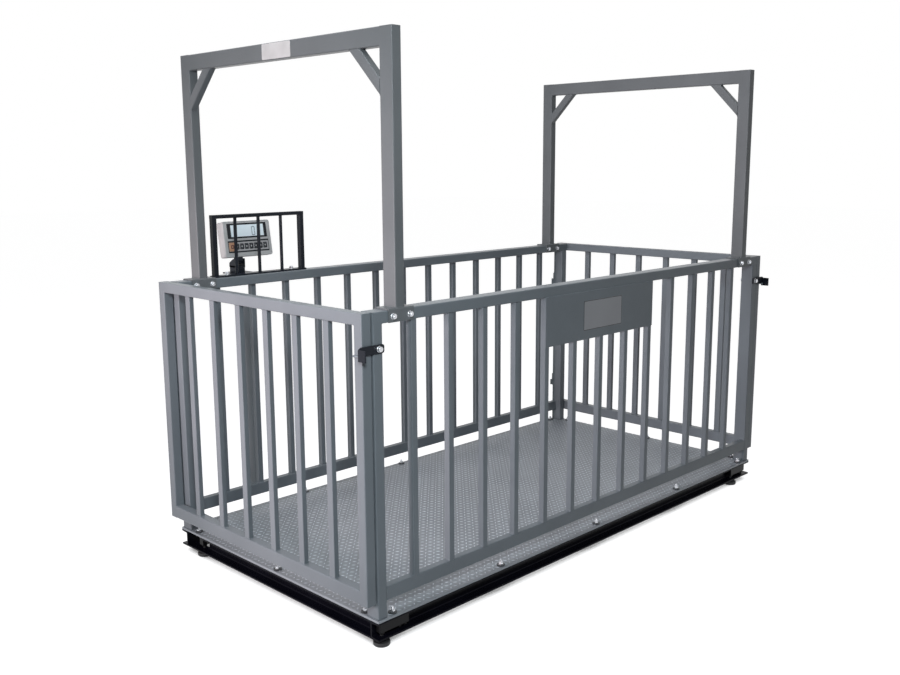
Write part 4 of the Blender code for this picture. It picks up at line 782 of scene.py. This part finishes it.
bolt_places, bolt_turns = [], []
for end_name, x in (("front", -1.127), ("rear", 1.113)):
    left, right = x - 0.020, x + 0.020
    bm = bmesh.new()
    reach = PANEL_OUTER - TUBE_DEEP + JOINT_OVERLAP
    low = (left + JOINT_SINK, PLATFORM_SIDE - reach, ARCH_BEAM_LOW)
    high = (right - JOINT_SINK, PLATFORM_SIDE + reach, ARCH_TOP - JOINT_SINK)
    bar(bm, "Y", low, high, CORNER)
    lines = []
    for side_name, side in SIDES:
        outer = side * PANEL_OUTER + PLATFORM_SIDE
        inner = outer - side * TUBE_DEEP
        face = inner - side * FIT
        brace(bm, side, face, left)
        start, end = left + BRACE_CORNER, left + BRACE_DEPTH - BRACE_CORNER
        base = ARCH_BEAM_LOW - BRACE_DROP
        for z in (base, base + BRACE_RUN):
            lines.append(((start, face, z), (end, face, z)))
        for y in (face - side * (BRACE_DROP - BRACE_RUN), face - side * BRACE_DROP):
            lines.append(((start, y, ARCH_BEAM_LOW), (end, y, ARCH_BEAM_LOW)))
        lines.append(((left + CORNER, inner, ARCH_BEAM_LOW), (right - CORNER, inner, ARCH_BEAM_LOW)))

        node = "%s_arch_%s_post" % (end_name, side_name)
        post = bmesh.new()
        bar(post, "Z", (left, inner, SADDLE_TOP), (right, outer, ARCH_TOP), CORNER)
        out_skin, in_skin = outer + side * SADDLE_SKIN, inner - side * SADDLE_SKIN
        out_fit, in_fit = outer + side * FIT, inner - side * FIT
        saddle = [(out_skin, SADDLE_TOP), (out_skin, TOP_RAIL_LOW), (out_fit, TOP_RAIL_LOW)]
        saddle += [(out_fit, TOP_RAIL_HIGH + FIT), (in_fit, TOP_RAIL_HIGH + FIT)]
        saddle += [(in_fit, TOP_RAIL_LOW), (in_skin, TOP_RAIL_LOW), (in_skin, SADDLE_TOP)]
        radii = (SADDLE_FOLD, 0.0006, 0.0006, 0.0004, 0.0004, 0.0006, 0.0006, SADDLE_FOLD)
        shape = softened(saddle, radii)
        loft(post, "X", [(x - SADDLE_HALF, shape), (x + SADDLE_HALF, shape)])
        made(node + "_tube", post, arch_painted_shade, node)
        for y in (outer - side * 0.001, inner + side * 0.001):
            lines.append(((left + CORNER, y, SADDLE_TOP), (right - CORNER, y, SADDLE_TOP)))
        for edge_x in (left, right):
            start = (edge_x, outer - side * CORNER, SADDLE_TOP)
            lines.append((start, (edge_x, inner + side * CORNER, SADDLE_TOP)))
        for step in (-SADDLE_BOLT_STEP, SADDLE_BOLT_STEP):
            for y, turn in ((out_skin, -90), (in_skin, 90)):
                bolt_places.append((x + step, y, 1.115))
                bolt_turns.append((math.radians(turn * side), 0, 0))
    made(end_name + "_arch_beam_tube", bm, arch_painted_shade, end_name + "_arch_beam")
    weld_bead(end_name + "_arch_welds", lines, arch_painted_shade)

# Cage bolts: plated nuts with washers and thread ends on both sides of each saddle, and the
# latches' pivot bolts.


def nut_end(bm):
    """Add a washer, a nut and the end of a bolt standing on the plane Z = 0."""
    turned(bm, "Z", ((-0.0008, 0.0105), (0.0014, 0.0105), (0.0020, 0.0099)), 0, 0)
    chamfered_nut(bm, "Z", 0.0020, 0.0100, 0, 0, 0.0085)
    thread(bm, "Z", 0.0090, 0.0128, 0, 0, 0.0048, 0.0015)


LATCH_X = 1.225
LATCH_Z = 1.0166
nut = bmesh.new()
nut_end(nut)
bolt_places += [(x, PANEL_NEAR + TUBE_DEEP - 0.002, LATCH_Z) for x in (-LATCH_X, LATCH_X)]
bolt_turns += [(math.radians(-90), 0, 0)] * 2
made("cage_bolt_nuts", copied(nut, bolt_places, zinc, bolt_turns), zinc)
bm = bmesh.new()
latch_face = PANEL_NEAR - 0.0056
for x in (-LATCH_X, LATCH_X):
    rim = ((latch_face, 0.0105), (latch_face - 0.0014, 0.0105), (latch_face - 0.0020, 0.0098))
    turned(bm, "Y", rim, x, LATCH_Z)
    chamfered_nut(bm, "Y", latch_face - 0.0020, latch_face - 0.0099, x, LATCH_Z, 0.0085)
    turned(bm, "Y", ((latch_face, 0.005), (PANEL_NEAR, 0.005)), x, LATCH_Z)
made("latch_pivot_bolts", bm, zinc)

# Gates: a welded frame of square tube with square bars, hung on pins at the far post. A short
# rod on the near stile is the latch's catch.

GATE_NEAR = PLATFORM_SIDE - 0.616
GATE_FAR = GATE_NEAR + 1.250
GATE_TUBE = 0.040
GATE_INNER_X = 1.249
CATCH_X, CATCH_Z = 1.292, 0.9975
GATE_LOW = 0.156
GATE_RAIL_HIGH = 0.206
GATE_BAR = 0.030
GATE_BAR_FIRST = GATE_NEAR + 0.174
GATE_BAR_PITCH = 0.171
HINGE_X, HINGE_Y = 1.247, GATE_FAR + 0.0115
HINGE_HEIGHTS = (0.300, 0.900)
KNUCKLE = 0.030
KNUCKLE_RADIUS = 0.009


def knuckle(bm, x, end, reach, back, low, high):
    """Add a turned hinge knuckle with a lug that points to one side."""
    outline = [(x, back), (x + end * reach, back), (x + end * reach, HINGE_Y - 0.002)]
    outline.append((x + end * (KNUCKLE_RADIUS + 0.0005), HINGE_Y))
    for i in range(25):
        angle = math.radians(5 + 265 * i / 24)
        across, out = KNUCKLE_RADIUS * math.cos(angle), KNUCKLE_RADIUS * math.sin(angle)
        outline.append((x + end * across, HINGE_Y + out))
    loft(bm, "Z", [(low, outline), (high, outline)])


hinge_work = bmesh.new()
for end_name, end in ENDS:
    body = end_name + "_gate"
    inner_x, outer_x = end * GATE_INNER_X, end * (GATE_INNER_X + GATE_TUBE)
    lines = []
    for side_name, near in (("near", GATE_NEAR), ("far", GATE_FAR - GATE_TUBE)):
        bm = bmesh.new()
        bar(bm, "Z", (inner_x, near, GATE_LOW), (outer_x, near + GATE_TUBE, TOP_RAIL_HIGH), CORNER)
        if side_name == "near":
            rod = ((near - 0.016, 0.0032), (near - 0.0152, 0.004), (near + 0.038, 0.004))
            turned(bm, "Y", rod, end * CATCH_X, CATCH_Z, 20)
        else:
            for height in HINGE_HEIGHTS:
                z = height + KNUCKLE + FIT
                knuckle(bm, end * HINGE_X, end, 0.034, GATE_FAR - 0.001, z, z + KNUCKLE)
        node = "%s_gate_%s_stile" % (end_name, side_name)
        made(node + "_tube", bm, cage_paint, node, body=body)
    rail_near, rail_far = GATE_NEAR + GATE_TUBE, GATE_FAR - GATE_TUBE
    start, stop = rail_near - JOINT_OVERLAP, rail_far + JOINT_OVERLAP
    sunk_in, sunk_out = inner_x + end * JOINT_SINK, outer_x - end * JOINT_SINK
    bm = bmesh.new()
    low = (sunk_in, start, TOP_RAIL_LOW)
    bar(bm, "Y", low, (sunk_out, stop, TOP_RAIL_HIGH - JOINT_SINK), CORNER)
    node = end_name + "_gate_top_rail"
    made(node + "_tube", bm, cage_paint, node, body=body)
    upright_bar = bmesh.new()
    left, right = inner_x + end * 0.015, outer_x - end * 0.005
    low = (left, 0, GATE_RAIL_HIGH - 0.001)
    bar(upright_bar, "Z", low, (right, GATE_BAR, TOP_RAIL_LOW - FIT), BAR_CORNER)
    places = [(0, GATE_BAR_FIRST + i * GATE_BAR_PITCH, 0) for i in range(6)]
    bm = copied(upright_bar, places, cage_paint)
    low = (sunk_in, start, GATE_LOW + JOINT_SINK)
    bar(bm, "Y", low, (sunk_out, stop, GATE_RAIL_HIGH), CORNER)
    node = end_name + "_gate_bars"
    made(node + "_tube", bm, cage_paint, node, body=body)
    for _, near, _ in places:
        for z in (GATE_RAIL_HIGH, TOP_RAIL_LOW):
            for y in (near, near + GATE_BAR):
                lines.append(((left + end * 0.002, y, z), (right - end * 0.002, y, z)))
            for x in (left, right):
                lines.append(((x, near + 0.002, z), (x, near + GATE_BAR - 0.002, z)))
    for y in (rail_near, rail_far):
        for z in (GATE_RAIL_HIGH, TOP_RAIL_LOW):
            lines.append(((inner_x + end * 0.004, y, z), (outer_x - end * 0.004, y, z)))
    weld_bead(end_name + "_gate_welds", lines, cage_paint, body=body)
    for height in HINGE_HEIGHTS:
        x, top = end * HINGE_X, height + KNUCKLE
        knuckle(hinge_work, x, -end, 0.032, PANEL_FAR - 0.001, height, top)
        pin = ((top - 0.001, 0.005), (top + 0.0335, 0.005), (top + 0.035, 0.0038))
        turned(hinge_work, "Z", pin, x, HINGE_Y)
made("gate_hinge_knuckles", hinge_work, cage_paint)

# Latches: a flat bar with a hook and a bent tab, cut from steel strip and painted black. Each
# turns on a pivot bolt in the near post and drops over its gate's catch rod.

tones = (0.005, 0.007, 0.012), (0.009, 0.012, 0.019)
black_satin = paint("black_satin_paint", "black_paint", *tones, 0.34, 0.0002, 0.18)
LATCH_THICK = 0.005
HOOK_X = 1.2975
HOOK_END = 1.309
for end_name, end in ENDS:
    tail = end * (LATCH_X - 0.022)
    low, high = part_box(end_name + "_latch")
    hook, tip = end * HOOK_X, end * HOOK_END
    points = [(tail, LATCH_Z - 0.0145), (hook, LATCH_Z - 0.0145), (hook, low.z), (tip, low.z)]
    points += [(tip, LATCH_Z + 0.0085), (hook, LATCH_Z + 0.0145), (tail, LATCH_Z + 0.0145)]
    outline = softened(points, (0.008, 0.001, 0.003, 0.002, 0.003, 0.006, 0.008))
    back = PANEL_NEAR - FIT
    bm = bmesh.new()
    loft(bm, "Y", [(back, outline), (back - LATCH_THICK, outline)])
    corner = (end * (HOOK_END - LATCH_THICK), low.y, low.z)
    bar(bm, "Y", corner, (tip, back - LATCH_THICK + 0.001, LATCH_Z + 0.0085), 0.0012, 0.0012, 2)
    node = end_name + "_latch"
    made(node + "_bar", bm, black_satin, node, body=node)

# Indicator guard: a black welded rack of square tube and round bar, bolted on the far rail,
# with the plate that carries the indicator's column.

GUARD_BASE_TOP = 1.1413
GUARD_TOP = 1.391
GUARD_RAIL_LOW = 1.376
GUARD_LEFT = -1.0585
GUARD_RIGHT = -0.5985
GUARD_POST = 0.020
GUARD_BAR_RADIUS = 0.007
guard_near = 0.585 + PLATFORM_SIDE
guard_far = guard_near + 0.025
guard_middle = (guard_near + guard_far) / 2
bm = bmesh.new()
low = (GUARD_LEFT - 0.003, 0.578 + PLATFORM_SIDE, TOP_RAIL_HIGH + FIT)
high = (GUARD_RIGHT + 0.003, PANEL_FAR, GUARD_BASE_TOP)
bar(bm, "X", low, high, 0.001, 0.0006, 2)
low = (-0.950, PANEL_FAR - 0.004, TOP_RAIL_HIGH + FIT)
bar(bm, "Z", low, (-0.846, 0.700 + PLATFORM_SIDE, GUARD_BASE_TOP - 0.0001), 0.004, 0.0006)
post_lefts = (GUARD_LEFT, GUARD_RIGHT - GUARD_POST)
for left in post_lefts:
    low = (left, guard_near, GUARD_BASE_TOP - 0.001)
    bar(bm, "Z", low, (left + GUARD_POST, guard_far, GUARD_RAIL_LOW + 0.001), 0.002, 0.0005)
low = (GUARD_LEFT, guard_near, GUARD_RAIL_LOW)
bar(bm, "X", low, (GUARD_RIGHT, guard_far, GUARD_TOP), 0.002, 0.0008)
bar_places = [GUARD_LEFT + (i + 1) * (GUARD_RIGHT - GUARD_LEFT) / 4 for i in range(3)]
for x in bar_places:
    ends = ((z, GUARD_BAR_RADIUS) for z in (GUARD_BASE_TOP - 0.001, GUARD_RAIL_LOW + 0.001))
    turned(bm, "Z", ends, x, guard_middle)
made("guard_rack", bm, black_satin, "indicator_guard")
lines = []
for left in post_lefts:
    for x in (left, left + GUARD_POST):
        start = (x, guard_near + 0.002, GUARD_BASE_TOP)
        lines.append((start, (x, guard_far - 0.002, GUARD_BASE_TOP)))
for x in bar_places:
    for z in (GUARD_BASE_TOP, GUARD_RAIL_LOW):
        for a, b in circle(x, guard_middle, GUARD_BAR_RADIUS, 8):
            lines.append(((a, b, z), (a, b, z)))
weld_bead("guard_welds", lines, black_satin, size=0.0018)
nut = bmesh.new()
nut_end(nut)
guard_bolts = [(x, guard_middle, GUARD_BASE_TOP) for x in (-0.9925, -0.6645)]
bm = copied(nut, guard_bolts, zinc, [(0, 0, 0.3), (0, 0, 0.9)])
made("guard_bolt_nuts", bm, zinc)

# Indicator column: rectangular steel tube, painted black, on the guard's plate. Its two ears
# make a clevis, and the indicator tilts on the pin between them.

low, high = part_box("indicator_column")
column_near, column_far = low.y, high.y
PIVOT = Vector((-0.902, 0.648 + PLATFORM_SIDE, 1.185))
COLUMN_TOP = 1.170
COLUMN_LEFT, COLUMN_RIGHT = -0.922, -0.882
EAR = 0.004
bm = bmesh.new()
low = (COLUMN_LEFT, column_near, GUARD_BASE_TOP + FIT)
bar(bm, "Z", low, (COLUMN_RIGHT, column_far, COLUMN_TOP), 0.004)
points = [(column_near, COLUMN_TOP - 0.008), (column_far, COLUMN_TOP - 0.008)]
points += [(column_far, PIVOT.z - 0.005), (PIVOT.y + 0.020, PIVOT.z + 0.008)]
points += [(PIVOT.y + 0.006, PIVOT.z + 0.0145), (column_near, PIVOT.z + 0.0155)]
outline = softened(points, (0, 0, 0.002, 0.004, 0.006, 0.003))
for left in (COLUMN_LEFT, COLUMN_RIGHT - EAR):
    loft(bm, "X", [(left, outline), (left + EAR, outline)])
made("indicator_column_tube", bm, black_satin, "indicator_column")
bm = bmesh.new()
for start, out in ((COLUMN_LEFT + 0.001, -1), (COLUMN_RIGHT - 0.001, 1)):
    face = start + out * 0.0036
    dome = ((start, 0.008), (face, 0.008), (face + out * 0.0004, 0.0070))
    turned(bm, "X", dome, PIVOT.y, PIVOT.z)
made("indicator_pivot_heads", bm, black_satin)

# Indicator head: two moulded shells with a dark display window and a film keypad. It leans
# back on its pivot. All of it is built upright about the pivot and turned at the end.

HEAD = Matrix.Translation(PIVOT) @ Matrix.Rotation(math.radians(-9), 4, "X")
HEAD_CENTRE = 0.048
HEAD_LEFT, HEAD_RIGHT = HEAD_CENTRE - 0.118, HEAD_CENTRE + 0.118
HEAD_LOW, HEAD_HIGH = 0.020, 0.172
FACE = -0.023

tones = (0.45, 0.445, 0.45), (0.52, 0.515, 0.52)
case_plastic = coat("case_plastic", "case_plastic", *tones, (12, 3), (900, 2), 0.46, 0.00012)


def on_head(name, bm, material, *nodes, body="indicator_head", slot=None):
    """Turn a piece of the head to its lean, and finish it."""
    bm.transform(HEAD)
    made(name, bm, material, *nodes, body=body, slot=slot)


def shell(bm, front, back, edge_front, edge_back):
    """Add a moulded shell with soft edges on its two faces."""
    sections = []
    for depth, inset in (
        (front, edge_front),
        (front + 0.3 * edge_front, 0.35 * edge_front),
        (front + edge_front, 0),
        (back - edge_back, 0),
        (back - 0.3 * edge_back, 0.35 * edge_back),
        (back, edge_back),
    ):
        low_corner = (HEAD_LEFT + inset, HEAD_LOW + inset)
        high_corner = (HEAD_RIGHT - inset, HEAD_HIGH - inset)
        sections.append((depth, rounded(*low_corner, *high_corner, 0.009 - inset, 6)))
    loft(bm, "Y", sections)


bm = bmesh.new()
shell(bm, FACE, -0.0012, 0.0030, 0.0003)
on_head("indicator_front_shell", bm, case_plastic, "indicator_front_case")
bm = bmesh.new()
shell(bm, -0.0006, 0.024, 0.0003, 0.0040)
for i in (1, 2):
    x, z = 0.0145 + i * 0.032, HEAD_LOW + 0.022
    chamfered_nut(bm, "Y", 0.023, 0.030, x, z, 0.0078)
    turned(bm, "Y", ((0.029, 0.0072), (0.035, 0.0066), (0.038, 0.0045)), x, z)
on_head("indicator_back_shell", bm, case_plastic, "indicator_back_case")
bm = bmesh.new()
outline = [(0.009, HEAD_LOW + 0.0015), (-0.0007, HEAD_LOW + 0.0015)]
outline += [(-0.0007, HEAD_LOW - 0.0003), (-0.016, HEAD_LOW - 0.0003), (-0.016, 0.004)]
for i in range(25):
    angle = math.pi * (1 + i / 24)
    outline.append((0.009 * math.cos(angle), 0.009 * math.sin(angle)))
loft(bm, "X", [(-0.0145, outline), (0.0145, outline)])
on_head("indicator_lug", bm, black_satin)

# Display: a dark glossy plastic window let in the front shell, with a pale liquid crystal
# panel that shows a nought.

SCREEN = "display_plastic"
tones = (0.006, 0.008, 0.012), (0.012, 0.014, 0.019)
window_dark = coat("window_bezel", SCREEN, *tones, (30, 3), None, 0.22, 0, specular=0.25)
tones = (0.60, 0.72, 0.80), (0.74, 0.82, 0.87)
lcd = coat("display_glass", SCREEN, *tones, (9, 2), None, 0.16, 0)
shader = lcd.node_tree.nodes["Principled BSDF"]
shader.inputs["Emission Color"].default_value = (0.78, 0.88, 0.95, 1)
shader.inputs["Emission Strength"].default_value = 0.16
tones = (0.20, 0.26, 0.30), (0.25, 0.31, 0.35)
segment_ink = coat("segment_ink", SCREEN, *tones, (200, 2), None, 0.3, 0)


def face_bar(bm, sides, heights, proud, sunk, radius, edge, steps):
    """Add a flat piece on the head's face, from its sides, its heights and its two depths."""
    low = (HEAD_CENTRE + sides[0], FACE - proud, HEAD_LOW + heights[0])
    high = (HEAD_CENTRE + sides[1], FACE + sunk, HEAD_LOW + heights[1])
    bar(bm, "Y", low, high, radius, edge, steps)


def face_piece(name, material, shape, *nodes, **more):
    """Make a piece of the head's face from one flat bar."""
    bm = bmesh.new()
    face_bar(bm, *shape)
    on_head(name, bm, material, *nodes, **more)


shape = ((-0.099, 0.099), (0.078, 0.142), 0.0002, 0.0014, 0.003, 0.0003, 4)
face_piece("display_bezel", window_dark, shape, "display_window")
shape = ((-0.081, 0.083), (0.085, 0.135), 0.0004, 0, 0.001, 0.0001, 2)
face_piece("display_panel", lcd, shape)
bm = bmesh.new()
DIGIT_X, DIGIT_LOW = 0.022, 0.088
DIGIT_WIDE, DIGIT_TALL, STROKE = 0.017, 0.038, 0.0034
HALF_STROKE = DIGIT_TALL / 2 - 0.002
strokes = [(x, z, STROKE, HALF_STROKE) for x in (0, DIGIT_WIDE - STROKE) for z in (0.0015, 0.0195)]
strokes += [(0.0015, z, DIGIT_WIDE - 0.003, STROKE) for z in (0, DIGIT_TALL - STROKE)]
for low_x, low_z, wide, tall in strokes:
    left, base = DIGIT_X + low_x, DIGIT_LOW + low_z
    face_bar(bm, (left, left + wide), (base, base + tall), 0.0005, 0, 0.0008, 0.0001, 2)
on_head("display_digit", bm, segment_ink)

# Keypad: a printed film with a dark border round a pale strip, over eight keys. The first key
# is orange; the others are grey with a dark printed ring. Pressed, a key stays proud of the film.

tones = (0.008, 0.010, 0.014), (0.016, 0.018, 0.022)
film_dark = paint("keypad_border", "keypad_film", *tones, 0.4, 0.00005, 0.2)
tones = (0.40, 0.39, 0.40), (0.46, 0.45, 0.46)
film_pale = paint("keypad_strip", "keypad_film", *tones, 0.45, 0.00005)
key_orange = paint("key_orange", "key_orange", (0.46, 0.24, 0.14), (0.56, 0.31, 0.19), 0.45, 0.00005)
key_grey = paint("key_grey", "key_grey", (0.42, 0.41, 0.42), (0.50, 0.49, 0.50), 0.45, 0.00005)
tones = (0.10, 0.040, 0.030), (0.14, 0.055, 0.040)
ring_red = paint("key_ring_red", "keypad_film", *tones, 0.45, 0.00005)
KEY_RISE = 0.0435
KEY_Z = HEAD_LOW + KEY_RISE
KEY_PITCH = 0.0235
KEY_HALF = 0.00825


def printed_ring(bm, x, outer, inner, proud, thick):
    """Add a printed ring round a key, from its two outlines' half sizes and corner radii."""
    outside, inside = (
        rounded(x - wide, KEY_Z - tall, x + wide, KEY_Z + tall, radius, 5)
        for wide, tall, radius in (outer, inner)
    )
    back, front = FACE - proud + thick, FACE - proud
    walls = ((back, outside), (front, outside), (front, inside), (back, inside))
    loft(bm, "Y", walls, closed=True)


shape = ((-0.1025, 0.1025), (0.018, 0.069), 0.0001, 0.0014, 0.002, 0.0002, 3)
face_piece("keypad_film", film_dark, shape, "keypad_plate")
shape = ((-0.099, 0.099), (0.0245, 0.0625), 0.0003, 0, 0.001, 0.0001, 2)
face_piece("keypad_pale_strip", film_pale, shape)
key_places = [HEAD_CENTRE + (i - 3.5) * KEY_PITCH for i in range(8)]
bm = bmesh.new()
for x in key_places[1:]:
    printed_ring(bm, x, (0.0100, 0.0125, 0.004), (0.0084, 0.0084, 0.003), 0.0005, 0.0004)
on_head("keypad_key_fields", bm, film_dark)
shape = ((-0.098, -0.070), (0.025, 0.062), 0.0004, 0, 0.002, 0.0001, 3)
face_piece("keypad_orange_field", key_orange, shape, slot="keypad_film")
for i, x in enumerate(key_places):
    body = "key_%d" % (i + 1)
    left, base = x - HEAD_CENTRE - KEY_HALF, KEY_RISE - KEY_HALF
    sides, heights = (left, left + 2 * KEY_HALF), (base, base + 2 * KEY_HALF)
    shape = (sides, heights, 0.0013, 0.003, 0.003, 0.0003, 4)
    face_piece(body + "_cap", key_grey if i else key_orange, shape, body, body=body)
    bm = bmesh.new()
    printed_ring(bm, x, (0.0079, 0.0080, 0.003), (0.0030, 0.0038, 0.0015), 0.0015, 0.0002)
    on_head(body + "_mark", bm, film_dark if i else ring_red, body=body)
